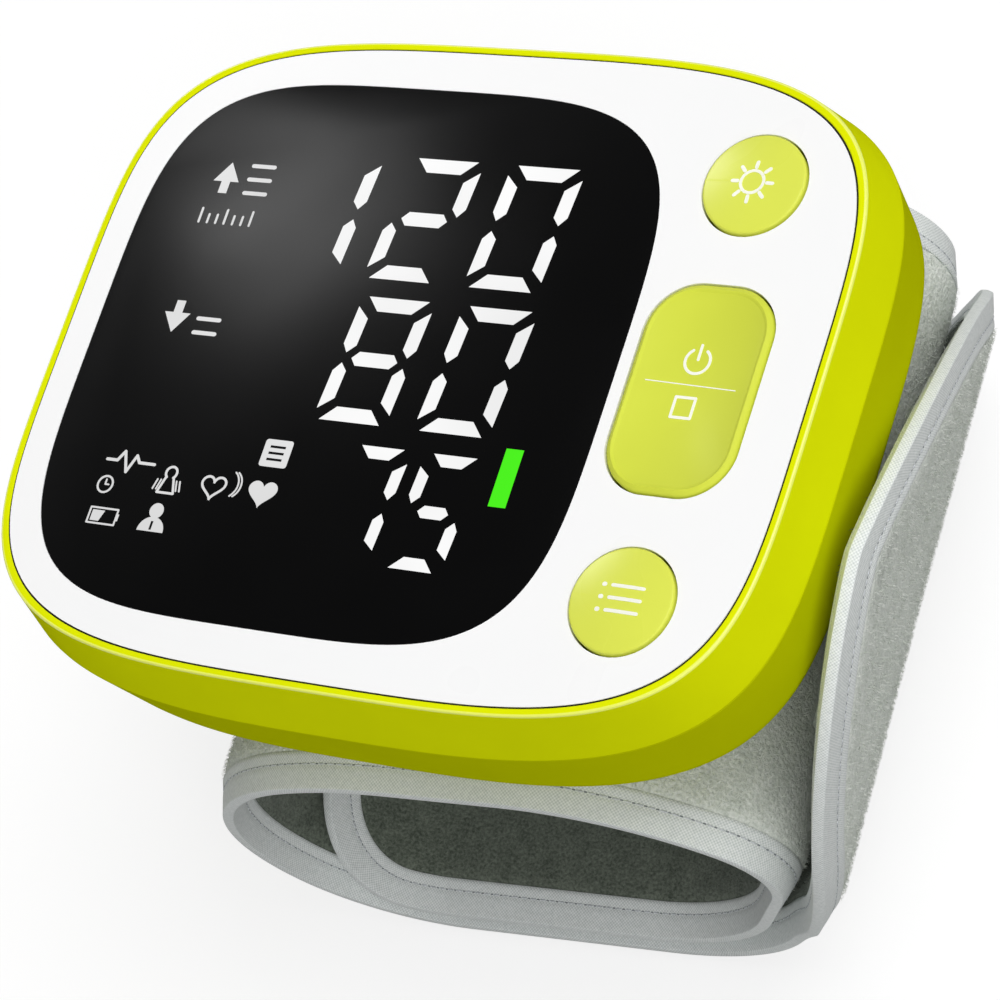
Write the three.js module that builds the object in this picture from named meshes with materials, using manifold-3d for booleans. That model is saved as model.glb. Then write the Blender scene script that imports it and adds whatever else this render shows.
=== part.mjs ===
// Wrist blood pressure monitor: a lime housing with a white face, a dark display window
// and three push buttons, seated on a soft wrist cuff that is wound into a loop.
// Millimetres, +Z up out of the display, +Y towards the display's top, +X to its right.
// The origin is the centre of the flat on which the rolled cuff stands.

import * as THREE from 'three';
import { mergeVertices } from 'three/addons/utils/BufferGeometryUtils.js';
import Module from 'manifold-3d';

const wasm = await Module();
wasm.setup();

const FULL_TURN = 2 * Math.PI;
const HALF_TURN = Math.PI;
const QUARTER_TURN = Math.PI / 2;

// Clearances
const seamGap = 0.3;
const fitGap = 0.3;
const partingGap = 0.1;
const solderGap = 0.1;
const windowGap = 0.15;
const cutOverrun = 1;

// Batteries, their contacts, tray and door
const cellRadius = 5.25;
const cellLength = 44.5;
const cellEndY = cellLength / 2;
const cellNubRadius = 2.7;
const cellNubHeight = 1.0;
const cellSpacing = 11.1;
const cellsInset = 15.7;
const springRoom = 3.15;
const contactThickness = 0.4;
const contactHalfWidth = 3.8;
const contactHalfHeight = 3.8;
const contactBumpRadius = 1.9;
const springWireRadius = 0.3;
const springBaseRadius = 3.1;
const springTipRadius = 1.7;
const springTurns = 3.5;
const springStepsPerTurn = 10;
const springWireSides = 6;
const trayWall = 0.9;
const contactY = cellEndY + springRoom;
const trayHalfLength = contactY + contactThickness + fitGap + trayWall;
const trayToPanelEdge = 5.5;
const doorPastCell = 1.55;
const doorHalfLength = cellEndY + doorPastCell;
const doorInnerX = -13.7;
const doorTopDepth = 9.2;
const doorGripCount = 4;
const doorGripPitch = 2.2;
const doorGripHalfLength = 6;
const doorGripHeight = 0.35;
const doorGripWidth = 0.9;
const doorGripX = -20;

// Face panel, which covers the battery bay, and the outline that the whole housing follows
const panelHalfWidth = 40.5;
const panelHalfHeight = trayHalfLength + trayToPanelEdge;
const panelThickness = 1.2;
const panelPowerX = 3.68;
const panelPowerY = 4.57;
const housingPowerX = 3.1;
const housingPowerY = 4.45;
const outlineSteps = 60;
const cellsCentreX = cellsInset - panelHalfWidth;
const trayRightX = cellsCentreX + cellSpacing / 2 + cellRadius + fitGap + trayWall;

// Display window
const windowHalfWidth = 29.2;
const windowLeftInset = 3.0;
const windowInset = 4.05;
const windowHalfHeight = panelHalfHeight - windowInset;
const windowCentreX = windowHalfWidth + windowLeftInset - panelHalfWidth;
const windowPowerX = 4.03;
const windowPowerY = 4.31;

// Housing, as steps outwards from the panel's outline and depths below the face
const rimWidth = 0.52;
const rimBevel = 0.25;
const creaseOutX = 2.3;
const creaseOutY = 3.1;
const creaseDepth = 6.3;
const skirtOutX = 1.33;
const skirtOutY = 2.4;
const skirtDepth = 14.1;
const bellyInset = 14.5;
const backDepth = 19.7;
const bellySteps = 5;
const wallThickness = 1.4;
const floorThickness = 1.2;
const deckThickness = 1.2;
const frontInnerOutX = 0.6;
const frontInnerOutY = 0.8;
const lipHeight = 0.8;
const lipThickness = 0.8;

// Display module, main board and dome switches
const moduleHalfWidth = 26.5;
const moduleInset = 4.75;
const moduleHalfHeight = windowHalfHeight - moduleInset;
const moduleCornerRadius = 4;
const moduleThickness = 3.4;
const boardThickness = 1;
const boardSideInset = 2.1;
const boardEndInset = 1.9;
const boardRightX = panelHalfWidth - boardSideInset;
const boardHalfHeight = panelHalfHeight - boardEndInset;
const switchRadius = 2.4;
const switchHeight = 0.9;
const switchDomeRadius = 1.3;
const switchDomeHeight = 0.25;

// Buttons
const buttonColumnInset = 11.6;
const buttonColumnX = panelHalfWidth - buttonColumnInset;
const roundButtonRadius = 5.1;
const roundButtonInset = 11.7;
const roundButtonY = panelHalfHeight - roundButtonInset;
const roundButtonDome = 0.35;
const buttonSpacing = 5.3;
const longButtonHalfWidth = 6.5;
const longButtonHalfHeight = roundButtonY - roundButtonRadius - buttonSpacing;
const longButtonCornerRadius = 4.9;
const longButtonTopInset = 0.8;
const buttonProud = 0.35;
const buttonBevel = 0.25;
const buttonGap = 0.25;
const buttonTravel = 0.5;
const flangeWidth = 0.8;
const flangeThickness = 0.6;
const buttonSteps = 36;

// Case screws and their bosses
const bossRightInset = 21.9;
const bossEndInset = 4.9;
const bossRadius = 2.5;
const backBossRadius = 3.3;
const bossLeftX = trayRightX + fitGap + backBossRadius;
const bossRightX = panelHalfWidth - bossRightInset;
const bossY = panelHalfHeight - bossEndInset;
const bossSplitDepth = 8.7;
const pilotRadius = 1.15;
const pilotStopDepth = 3.6;
const screwHoleRadius = 1.2;
const screwShankRadius = 0.85;
const screwHeadRadius = 1.9;
const screwHeadHeight = 1.2;
const counterboreRadius = 2.2;
const counterboreTopDepth = 15.4;
const screwSteps = 12;

// Pump, valve, sensor and air lines
const airLineDepth = 12.4;
const pumpInset = 13;
const pumpX = panelHalfWidth - pumpInset;
const pumpHeadHalf = 5.6;
const pumpHeadHalfLength = 6.3;
const pumpHeadChamfer = 1.6;
const motorRadius = 5.9;
const motorFlatHalf = 4.9;
const motorLength = 14.6;
const motorBossRadius = 2;
const motorBossLength = 0.9;
const nozzleX = 2;
const nozzleBoreRadius = 0.9;
const nozzleRadius = 1.6;
const nozzleRise = 1.9;
const manifoldRadius = 2.6;
const manifoldTopDepth = 7;
const barbRadius = 1.1;
const barbLength = 3;
const hoseBoreRadius = 1.4;
const hoseRadius = 1.9;
const sensorLineDepth = 8.6;
const portLength = 1.8;
const valveRadius = 4.0;
const valveLength = 11;
const valveY = 9.2;
const valveYokeHalf = 4.4;
const valveYokeThickness = 1.0;
const sensorHalf = 3.6;
const sensorHeight = 3.2;
const sensorY = -14.5;

// Cuff plate between the housing and the cuff
const plateCentreX = 2.5;
const plateHalfWidth = 11.5;
const plateHalfLength = 24;
const plateCornerRadius = 4;
const plateThickness = 1.4;
const plateProud = 0.3;
const plateScrewX = 8;
const plateScrewY = 19;
const plateScrewRadius = 0.75;
const plateScrewHeadRadius = 1.7;
const plateScrewHeadHeight = 0.8;
const plateScrewBite = 0.9;

// Cuff: the band's make-up, across its thickness
const bandThickness = 3.2;
const bandWidth = 69;
const clothThickness = 0.7;
const curlerThickness = 0.4;
const bladderThickness = 0.5;
const tapeThickness = 0.5;
const tapeWidth = 2.9;
const tapeNose = 0.9;
const clothEdgeInset = 0.8;
const pinchWidth = 1.4;

// Cuff: the route of the band's middle layer, from its inner end to the tip of the flap
const innerEndTurn = THREE.MathUtils.degToRad(14);
const lowerRightRadius = 19;
const rightRadius = 10;
const rightTurn = THREE.MathUtils.degToRad(87);
const upperRightRadius = 25;
const upperRightTurn = THREE.MathUtils.degToRad(45);
const seatRunLength = 12.2;
const seatStartX = 8.4;
const shoulderRadius = 36;
const shoulderTurn = THREE.MathUtils.degToRad(22);
const leftRadius = 22.4;
const leftTurn = THREE.MathUtils.degToRad(88);
const lowerLeftRadius = 16;
const cornerRadius = 26;
const cornerTurn = THREE.MathUtils.degToRad(52);
const cornerStartX = 4.8;
const flapRadius = 90;
const flapTurn = THREE.MathUtils.degToRad(21);
const flapTipRun = 19.5;
const layerGap = 0.6;
const arcStep = THREE.MathUtils.degToRad(8);
const longestStep = 9;
const shortestStep = 0.6;

// Cuff: the flat pattern
const bandCentreY = -0.9;
const edgeSlantShare = Math.tan(THREE.MathUtils.degToRad(2));
const innerEndCornerRadius = 14;
const cornerArcSteps = 7;
const tongueLength = 44;
const tonguePower = 1.6;
const tongueSteps = 11;
const flapSlantShare = 0.26;
const cuffTurn = THREE.MathUtils.degToRad(1.7);
const bladderHalfWidth = 27;
const curlerHalfWidth = 30;
const linerMargin = 8;
const curlerHoleRadius = 2.1;
const hookThickness = 0.8;
const hookHalfLength = 10;
const hookHalfWidth = 16;
const hookFromHinge = 27;

// Heights above the flat that the cuff stands on
const lowerLeftTurn = HALF_TURN - shoulderTurn - leftTurn;
const loopDrop = shoulderRadius * (1 - Math.cos(shoulderTurn))
  + leftRadius * (Math.cos(shoulderTurn) - Math.cos(shoulderTurn + leftTurn))
  + lowerLeftRadius * (1 - Math.cos(lowerLeftTurn));
const bottomHeight = bandThickness / 2;
const seatHeight = bottomHeight + loopDrop;
const bodyBottomDepth = backDepth + plateProud;
const faceHeight = seatHeight + bandThickness / 2 + fitGap + bodyBottomDepth;

// Depths of the inner pieces below the face
const deckTopDepth = panelThickness + fitGap;
const deckBottomDepth = deckTopDepth + deckThickness;
const moduleBottomDepth = deckTopDepth + moduleThickness;
const boardTopDepth = moduleBottomDepth + fitGap;
const boardBottomDepth = boardTopDepth + boardThickness;
const trayTopDepth = moduleBottomDepth + fitGap;
const flangeTopDepth = deckBottomDepth + fitGap;
const flangeBottomDepth = flangeTopDepth + flangeThickness;
const floorInnerDepth = backDepth - floorThickness;
const cellDepth = trayTopDepth + trayWall + fitGap + cellRadius;
const innerPadDepth = floorInnerDepth - floorThickness;
const nozzleTopDepth = innerPadDepth - nozzleRise;
const plateTopDepth = bodyBottomDepth - plateThickness;
const pocketDepth = plateTopDepth - partingGap;

// Materials, with the colours that the photo shows
function plastic(hex, roughness, metalness = 0) {
  return new THREE.MeshStandardMaterial({ color: hex, roughness, metalness });
}

const limeCase = plastic(0xc9d400, 0.35);
const limeKey = plastic(0xd2dd3c, 0.3);
const whitePanel = plastic(0xfbfbfb, 0.18);
const blackGlass = plastic(0x060606, 0.08);
const darkModule = plastic(0x16181a, 0.5);
const greenBoard = plastic(0x1f5a34, 0.45);
const switchMetal = plastic(0xc8c8c4, 0.3, 0.9);
const trayPlastic = plastic(0xd8d8d4, 0.5);
const cellSleeve = plastic(0x2b4a8c, 0.35, 0.4);
const contactMetal = plastic(0xd0ccc0, 0.25, 0.95);
const steel = plastic(0xa8a8a8, 0.3, 0.95);
const blackPlastic = plastic(0x1c1c1e, 0.5);
const silicone = plastic(0xd9dcd6, 0.6);
const plateGrey = plastic(0x8c918c, 0.6);
const fleece = plastic(0xa9b1a6, 0.95);
const tape = plastic(0xc6cbca, 0.85);
const bladderRubber = plastic(0x6e7472, 0.7);
const curlerSheetPlastic = plastic(0xe6e6e2, 0.4);
const hookFabric = plastic(0x8d948f, 0.9);

// Outlines in the plane of the face, counterclockwise

function superellipse(halfX, halfY, powerX, powerY, centreX = 0, centreY = 0) {
  const points = [];
  for (let i = 0; i < outlineSteps; i += 1) {
    const angle = (i / outlineSteps) * FULL_TURN;
    const c = Math.cos(angle);
    const s = Math.sin(angle);
    const x = halfX * Math.sign(c) * Math.abs(c) ** (2 / powerX);
    const y = halfY * Math.sign(s) * Math.abs(s) ** (2 / powerY);
    points.push(new THREE.Vector2(centreX + x, centreY + y));
  }
  return points;
}

function panelOutline(outX, outY) {
  return superellipse(panelHalfWidth + outX, panelHalfHeight + outY, panelPowerX, panelPowerY);
}

// The housing's own outline, rounder at its corners than the panel's
function housingOutline(outX, outY) {
  return superellipse(panelHalfWidth + outX, panelHalfHeight + outY, housingPowerX, housingPowerY);
}

function windowOutline(out) {
  return superellipse(windowHalfWidth + out, windowHalfHeight + out, windowPowerX, windowPowerY, windowCentreX);
}

function roundedRectangle(halfX, halfY, radius, centreX = 0, centreY = 0) {
  const points = [];
  const stepsPerCorner = buttonSteps / 4;
  const corners = [[1, 1], [-1, 1], [-1, -1], [1, -1]];
  corners.forEach(([signX, signY], corner) => {
    const cornerX = centreX + signX * (halfX - radius);
    const cornerY = centreY + signY * (halfY - radius);
    for (let i = 0; i < stepsPerCorner; i += 1) {
      const angle = corner * QUARTER_TURN + (i / (stepsPerCorner - 1)) * QUARTER_TURN;
      const x = cornerX + radius * Math.cos(angle);
      const y = cornerY + radius * Math.sin(angle);
      points.push(new THREE.Vector2(x, y));
    }
  });
  return points;
}

// Solids from rings of points

function indexed(positions, faces) {
  const geometry = new THREE.BufferGeometry();
  geometry.setAttribute('position', new THREE.Float32BufferAttribute(positions, 3));
  geometry.setIndex(faces);
  return facingOut(geometry);
}

function signedVolume(geometry) {
  const position = geometry.getAttribute('position');
  const index = geometry.getIndex();
  const a = new THREE.Vector3();
  const b = new THREE.Vector3();
  const c = new THREE.Vector3();
  let volume = 0;
  for (let i = 0; i < index.count; i += 3) {
    a.fromBufferAttribute(position, index.getX(i));
    b.fromBufferAttribute(position, index.getX(i + 1));
    c.fromBufferAttribute(position, index.getX(i + 2));
    volume += a.dot(b.cross(c)) / 6;
  }
  return volume;
}

function facingOut(geometry) {
  if (signedVolume(geometry) > 0) return geometry;
  const faces = Array.from(geometry.getIndex().array);
  for (let i = 0; i < faces.length; i += 3) {
    [faces[i], faces[i + 1]] = [faces[i + 1], faces[i]];
  }
  geometry.setIndex(faces);
  return geometry;
}

// Skins a row of rings of equal count; the first and last ring are closed by flat caps.
function loft(rings) {
  const positions = [];
  const faces = [];
  const count = rings[0].length;
  rings.flat().forEach((p) => positions.push(p.x, p.y, p.z));
  for (let ring = 0; ring < rings.length - 1; ring += 1) {
    for (let i = 0; i < count; i += 1) {
      const next = (i + 1) % count;
      const a = ring * count + i;
      const b = ring * count + next;
      const c = (ring + 1) * count + next;
      const d = (ring + 1) * count + i;
      faces.push(a, b, c, a, c, d);
    }
  }
  const last = (rings.length - 1) * count;
  const lift = (p) => new THREE.Vector2(p.x, p.y);
  THREE.ShapeUtils.triangulateShape(rings[0].map(lift), []).forEach(([a, b, c]) => faces.push(b, a, c));
  THREE.ShapeUtils.triangulateShape(rings[rings.length - 1].map(lift), []).forEach(([a, b, c]) => {
    faces.push(last + a, last + b, last + c);
  });
  return indexed(positions, faces);
}

function atDepth(outline, depth) {
  return outline.map((p) => new THREE.Vector3(p.x, p.y, -depth));
}

function slab(outline, topDepth, bottomDepth) {
  return loft([atDepth(outline, bottomDepth), atDepth(outline, topDepth)]);
}

function block(halfX, halfY, topDepth, bottomDepth, centreX = 0, centreY = 0) {
  const box = new THREE.BoxGeometry(2 * halfX, 2 * halfY, bottomDepth - topDepth);
  box.translate(centreX, centreY, -(topDepth + bottomDepth) / 2);
  return box;
}

function post(radius, topDepth, bottomDepth, x, y, steps = screwSteps) {
  const cylinder = new THREE.CylinderGeometry(radius, radius, bottomDepth - topDepth, steps);
  cylinder.rotateX(QUARTER_TURN);
  cylinder.translate(x, y, -(topDepth + bottomDepth) / 2);
  return cylinder;
}

// A cylinder between two points of one level line along X or Y
function bar(radius, from, to, steps = screwSteps) {
  const length = from.distanceTo(to);
  const cylinder = new THREE.CylinderGeometry(radius, radius, length, steps);
  const direction = to.clone().sub(from).normalize();
  const turn = new THREE.Quaternion().setFromUnitVectors(new THREE.Vector3(0, 1, 0), direction);
  cylinder.applyQuaternion(turn);
  const middle = from.clone().add(to).multiplyScalar(0.5);
  cylinder.translate(middle.x, middle.y, middle.z);
  return cylinder;
}

// Joins and cuts

function toManifold(geometry) {
  const bare = geometry.clone();
  bare.deleteAttribute('normal');
  bare.deleteAttribute('uv');
  const merged = mergeVertices(bare);
  const mesh = new wasm.Mesh({
    numProp: 3,
    vertProperties: new Float32Array(merged.getAttribute('position').array),
    triVerts: new Uint32Array(merged.getIndex().array),
  });
  return new wasm.Manifold(mesh);
}

function toGeometry(solid) {
  const mesh = solid.getMesh();
  const geometry = new THREE.BufferGeometry();
  geometry.setAttribute('position', new THREE.BufferAttribute(new Float32Array(mesh.vertProperties), 3));
  geometry.setIndex(new THREE.BufferAttribute(new Uint32Array(mesh.triVerts), 1));
  return geometry;
}

function joined(first, ...others) {
  return toGeometry(others.reduce((solid, other) => solid.add(toManifold(other)), toManifold(first)));
}

function cut(first, ...others) {
  return toGeometry(others.reduce((solid, other) => solid.subtract(toManifold(other)), toManifold(first)));
}

function common(first, second) {
  return toGeometry(toManifold(first).intersect(toManifold(second)));
}

// Places that repeat

function cornersAt(leftX, rightX, y) {
  return [[rightX, y], [leftX, y], [leftX, -y], [rightX, -y]];
}

const bossPlaces = cornersAt(bossLeftX, bossRightX, bossY);
const plateScrewPlaces = cornersAt(plateCentreX - plateScrewX, plateCentreX + plateScrewX, plateScrewY);

// Housing

function bellyRings(outX, outY, lowestDepth) {
  const rings = [];
  for (let i = 0; i <= bellySteps; i += 1) {
    const angle = (i / bellySteps) * QUARTER_TURN;
    const inset = bellyInset * (1 - Math.cos(angle));
    const depth = skirtDepth + (lowestDepth - skirtDepth) * Math.sin(angle);
    rings.push(atDepth(housingOutline(outX - inset, outY - inset), depth));
  }
  return rings;
}

// The hollow of the housing, drawn in by a clearance
function interior(clearance) {
  const outX = skirtOutX - wallThickness - clearance;
  const outY = skirtOutY - wallThickness - clearance;
  const lipX = frontInnerOutX - fitGap - lipThickness - clearance;
  const lipY = frontInnerOutY - fitGap - lipThickness - clearance;
  const top = atDepth(panelOutline(lipX, lipY), 0);
  const parting = atDepth(panelOutline(lipX, lipY), creaseDepth);
  const belly = bellyRings(outX, outY, floorInnerDepth - clearance);
  return loft([top, parting, ...belly]);
}

function frontCase() {
  const shell = loft([
    atDepth(panelOutline(frontInnerOutX, frontInnerOutY), deckBottomDepth),
    atDepth(panelOutline(frontInnerOutX, frontInnerOutY), creaseDepth),
    atDepth(housingOutline(creaseOutX, creaseOutY), creaseDepth),
    atDepth(panelOutline(seamGap + rimWidth + rimBevel, seamGap + rimWidth + rimBevel), rimBevel),
    atDepth(panelOutline(seamGap + rimWidth, seamGap + rimWidth), 0),
    atDepth(panelOutline(seamGap, seamGap), 0),
    atDepth(panelOutline(seamGap, seamGap), deckTopDepth),
  ]);
  const boss = ([x, y]) => post(bossRadius, deckTopDepth + fitGap, bossSplitDepth, x, y);
  const pilot = ([x, y]) => post(pilotRadius, pilotStopDepth, bossSplitDepth + cutOverrun, x, y);
  const moduleOpening = roundedRectangle(
    moduleHalfWidth + fitGap,
    moduleHalfHeight + fitGap,
    moduleCornerRadius + fitGap,
    windowCentreX,
  );
  const openings = [moduleOpening, ...buttonOutlines(buttonGap)];
  const cuts = openings.map((outline) => slab(outline, 0, deckBottomDepth + cutOverrun));
  const bosses = bossPlaces.map(boss).map((solid) => common(solid, bossRoom()));
  return cut(joined(shell, ...bosses), ...cuts, ...bossPlaces.map(pilot));
}

// The room that the front bosses may fill: inside the lip of the back case
function bossRoom() {
  const lipX = frontInnerOutX - fitGap - lipThickness - fitGap;
  const lipY = frontInnerOutY - fitGap - lipThickness - fitGap;
  return slab(panelOutline(lipX, lipY), 0, backDepth);
}

function backShell() {
  const partingDepth = creaseDepth + partingGap;
  const lipTopDepth = creaseDepth - lipHeight;
  const lipOuterX = frontInnerOutX - fitGap;
  const lipOuterY = frontInnerOutY - fitGap;
  const innerX = skirtOutX - wallThickness;
  const innerY = skirtOutY - wallThickness;
  return loft([
    ...bellyRings(innerX, innerY, floorInnerDepth).reverse(),
    atDepth(panelOutline(lipOuterX - lipThickness, lipOuterY - lipThickness), partingDepth),
    atDepth(panelOutline(lipOuterX - lipThickness, lipOuterY - lipThickness), lipTopDepth),
    atDepth(panelOutline(lipOuterX, lipOuterY), lipTopDepth),
    atDepth(panelOutline(lipOuterX, lipOuterY), partingDepth),
    atDepth(housingOutline(creaseOutX, creaseOutY), partingDepth),
    ...bellyRings(skirtOutX, skirtOutY, backDepth),
  ]);
}

// The space of the battery door, grown by a clearance
function doorRegion(clearance) {
  const reach = panelHalfWidth + creaseOutX + cutOverrun;
  const halfX = (reach + doorInnerX + clearance) / 2;
  const centreX = -reach + halfX;
  const lowest = backDepth + cutOverrun;
  return block(halfX, doorHalfLength + clearance, doorTopDepth - clearance, lowest, centreX);
}

function plateOutline(clearance) {
  const halfX = plateHalfWidth + clearance;
  const halfY = plateHalfLength + clearance;
  return roundedRectangle(halfX, halfY, plateCornerRadius + clearance, plateCentreX);
}

function backCase() {
  const room = interior(-wallThickness / 2);
  const bossTop = bossSplitDepth + fitGap;
  const bosses = bossPlaces.map(([x, y]) => {
    return common(post(backBossRadius, bossTop, floorInnerDepth + floorThickness, x, y), room);
  });
  const pad = slab(plateOutline(floorThickness), innerPadDepth, floorInnerDepth + floorThickness / 2);
  const holes = bossPlaces.map(([x, y]) => post(screwHoleRadius, 0, backDepth + cutOverrun, x, y));
  const counterbores = bossPlaces.map(([x, y]) => {
    return post(counterboreRadius, counterboreTopDepth, backDepth + cutOverrun, x, y);
  });
  const pocket = slab(plateOutline(fitGap), pocketDepth, backDepth + cutOverrun);
  const plateHoles = plateScrewPlaces.map(([x, y]) => {
    return post(plateScrewRadius + fitGap, innerPadDepth - cutOverrun, backDepth, x, y);
  });
  const nozzleHole = post(nozzleRadius + fitGap, innerPadDepth - cutOverrun, backDepth, nozzleX, 0);
  return cut(
    joined(backShell(), ...bosses, pad),
    doorRegion(fitGap),
    pocket,
    nozzleHole,
    ...holes,
    ...counterbores,
    ...plateHoles,
  );
}

function batteryDoor() {
  const cover = common(backShell(), doorRegion(0));
  const grips = [];
  for (let i = 0; i < doorGripCount; i += 1) {
    const x = doorGripX - i * doorGripPitch;
    const grip = block(doorGripWidth / 2, doorGripHalfLength, backDepth - floorThickness / 2, backDepth + doorGripHeight, x);
    grips.push(grip);
  }
  return joined(cover, ...grips);
}

// Face

function buttonOutlines(clearance) {
  const radius = roundButtonRadius + clearance;
  const round = (y) => roundedRectangle(radius, radius, radius, buttonColumnX, y);
  const long = roundedRectangle(
    longButtonHalfWidth + clearance,
    longButtonHalfHeight + clearance,
    longButtonCornerRadius + clearance,
    buttonColumnX,
  );
  return [round(roundButtonY), long, round(-roundButtonY)];
}

function facePanel() {
  const sheet = slab(panelOutline(0, 0), 0, panelThickness);
  const openings = [windowOutline(windowGap), ...buttonOutlines(buttonGap)];
  const cuts = openings.map((outline) => slab(outline, -cutOverrun, panelThickness + cutOverrun));
  return cut(sheet, ...cuts);
}

function displayLens() {
  return slab(windowOutline(0), 0, panelThickness);
}

function roundButton(y) {
  const outline = (radius) => roundedRectangle(radius, radius, radius, buttonColumnX, y);
  const domeSteps = 4;
  const rings = [
    atDepth(outline(roundButtonRadius + flangeWidth), flangeBottomDepth),
    atDepth(outline(roundButtonRadius + flangeWidth), flangeTopDepth),
    atDepth(outline(roundButtonRadius), flangeTopDepth),
    atDepth(outline(roundButtonRadius), buttonBevel - buttonProud),
  ];
  for (let i = 0; i < domeSteps; i += 1) {
    const share = i / domeSteps;
    const radius = (roundButtonRadius - buttonBevel) * Math.cos(share * QUARTER_TURN);
    const rise = buttonProud + roundButtonDome * Math.sin(share * QUARTER_TURN);
    rings.push(atDepth(outline(radius), -rise));
  }
  return loft(rings);
}

function longButton() {
  const outline = (out) => roundedRectangle(
    longButtonHalfWidth + out,
    longButtonHalfHeight + out,
    longButtonCornerRadius + out,
    buttonColumnX,
  );
  return loft([
    atDepth(outline(flangeWidth), flangeBottomDepth),
    atDepth(outline(flangeWidth), flangeTopDepth),
    atDepth(outline(0), flangeTopDepth),
    atDepth(outline(0), buttonBevel - buttonProud),
    atDepth(outline(-buttonBevel), -buttonProud),
    atDepth(outline(-longButtonTopInset), -buttonProud),
    atDepth(outline(-longButtonTopInset - buttonBevel), buttonBevel - buttonProud),
  ]);
}

// Electronics

function displayModule() {
  const outline = roundedRectangle(moduleHalfWidth, moduleHalfHeight, moduleCornerRadius, windowCentreX);
  return slab(outline, deckTopDepth, moduleBottomDepth);
}

function mainBoard() {
  const leftX = trayRightX + fitGap;
  const halfWidth = (boardRightX - leftX) / 2;
  const sheet = block(halfWidth, boardHalfHeight, boardTopDepth, boardBottomDepth, leftX + halfWidth);
  const holes = bossPlaces.map(([x, y]) => post(bossRadius + fitGap, 0, backDepth, x, y));
  return cut(common(sheet, interior(fitGap)), ...holes);
}

function domeSwitch(y) {
  const seat = boardTopDepth - solderGap;
  const shoulder = seat - switchHeight + switchDomeHeight;
  const base = post(switchRadius, shoulder, seat, buttonColumnX, y);
  const dome = post(switchDomeRadius, seat - switchHeight, seat - switchDomeHeight, buttonColumnX, y);
  return joined(base, dome);
}

// Battery bay

function batteryTray() {
  const reach = panelHalfWidth + creaseOutX;
  const halfX = (trayRightX + reach) / 2;
  const centreX = trayRightX - halfX;
  const outside = block(halfX, trayHalfLength, trayTopDepth, backDepth, centreX);
  const inside = block(
    halfX,
    trayHalfLength - trayWall,
    trayTopDepth + trayWall,
    backDepth + cutOverrun,
    centreX - trayWall,
  );
  const bossClear = bossPlaces.map(([x, y]) => post(backBossRadius + fitGap, 0, backDepth, x, y));
  return cut(common(outside, interior(fitGap)), inside, ...bossClear);
}

function batteryCell(x, nubSign) {
  const bodyLength = cellLength - cellNubHeight;
  const nubEnd = nubSign * cellEndY;
  const shoulder = nubEnd - nubSign * cellNubHeight;
  const sleeve = bar(
    cellRadius,
    new THREE.Vector3(x, shoulder - nubSign * bodyLength, -cellDepth),
    new THREE.Vector3(x, shoulder, -cellDepth),
    outlineSteps / 3,
  );
  const nub = bar(
    cellNubRadius,
    new THREE.Vector3(x, shoulder - nubSign * cellNubHeight, -cellDepth),
    new THREE.Vector3(x, nubEnd, -cellDepth),
  );
  return joined(sleeve, nub);
}

const outerCellX = cellsCentreX - cellSpacing / 2;
const innerCellX = cellsCentreX + cellSpacing / 2;

function contactPlate(centreX, halfWidth, sign) {
  const plate = new THREE.BoxGeometry(2 * halfWidth, contactThickness, 2 * contactHalfHeight);
  plate.translate(centreX, sign * (contactY + contactThickness / 2), -cellDepth);
  return plate;
}

function contactBump(x, sign) {
  return bar(
    contactBumpRadius,
    new THREE.Vector3(x, sign * (cellEndY + fitGap), -cellDepth),
    new THREE.Vector3(x, sign * (contactY + contactThickness / 2), -cellDepth),
  );
}

// A cone-shaped contact spring that presses on the flat end of a cell
class ConeSpringCurve extends THREE.Curve {
  constructor(x, sign) {
    super();
    this.x = x;
    this.sign = sign;
  }

  getPoint(t, target = new THREE.Vector3()) {
    const base = contactY - fitGap - springWireRadius;
    const tip = cellEndY + fitGap + springWireRadius;
    const radius = springBaseRadius + (springTipRadius - springBaseRadius) * t;
    const angle = t * springTurns * FULL_TURN;
    const x = this.x + radius * Math.cos(angle);
    const y = this.sign * (base + (tip - base) * t);
    return target.set(x, y, -cellDepth + radius * Math.sin(angle));
  }
}

function contactSpring(x, sign) {
  const wire = new THREE.Shape();
  for (let i = 0; i < springWireSides; i += 1) {
    const angle = (i / springWireSides) * FULL_TURN;
    const point = [springWireRadius * Math.cos(angle), springWireRadius * Math.sin(angle)];
    if (i === 0) wire.moveTo(...point);
    else wire.lineTo(...point);
  }
  wire.closePath();
  return new THREE.ExtrudeGeometry(wire, {
    steps: Math.round(springTurns * springStepsPerTurn),
    bevelEnabled: false,
    extrudePath: new ConeSpringCurve(x, sign),
  });
}

// Air system

function pumpHead() {
  const chamfered = roundedRectangle(pumpHeadHalf, pumpHeadHalf, pumpHeadChamfer);
  const near = chamfered.map((p) => new THREE.Vector3(pumpX + p.x, -pumpHeadHalfLength, p.y - airLineDepth));
  const far = chamfered.map((p) => new THREE.Vector3(pumpX + p.x, pumpHeadHalfLength, p.y - airLineDepth));
  const lidShare = 0.75;
  const lid = chamfered.map((p) => {
    const z = lidShare * p.y - airLineDepth;
    return new THREE.Vector3(pumpX + lidShare * p.x, pumpHeadHalfLength + pumpHeadChamfer, z);
  });
  const body = skinned([near, far, lid]);
  const side = pumpX - pumpHeadHalf;
  const port = bar(
    barbRadius,
    new THREE.Vector3(side + barbRadius, 0, -airLineDepth),
    new THREE.Vector3(side - portLength, 0, -airLineDepth),
  );
  return joined(body, port);
}

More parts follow.
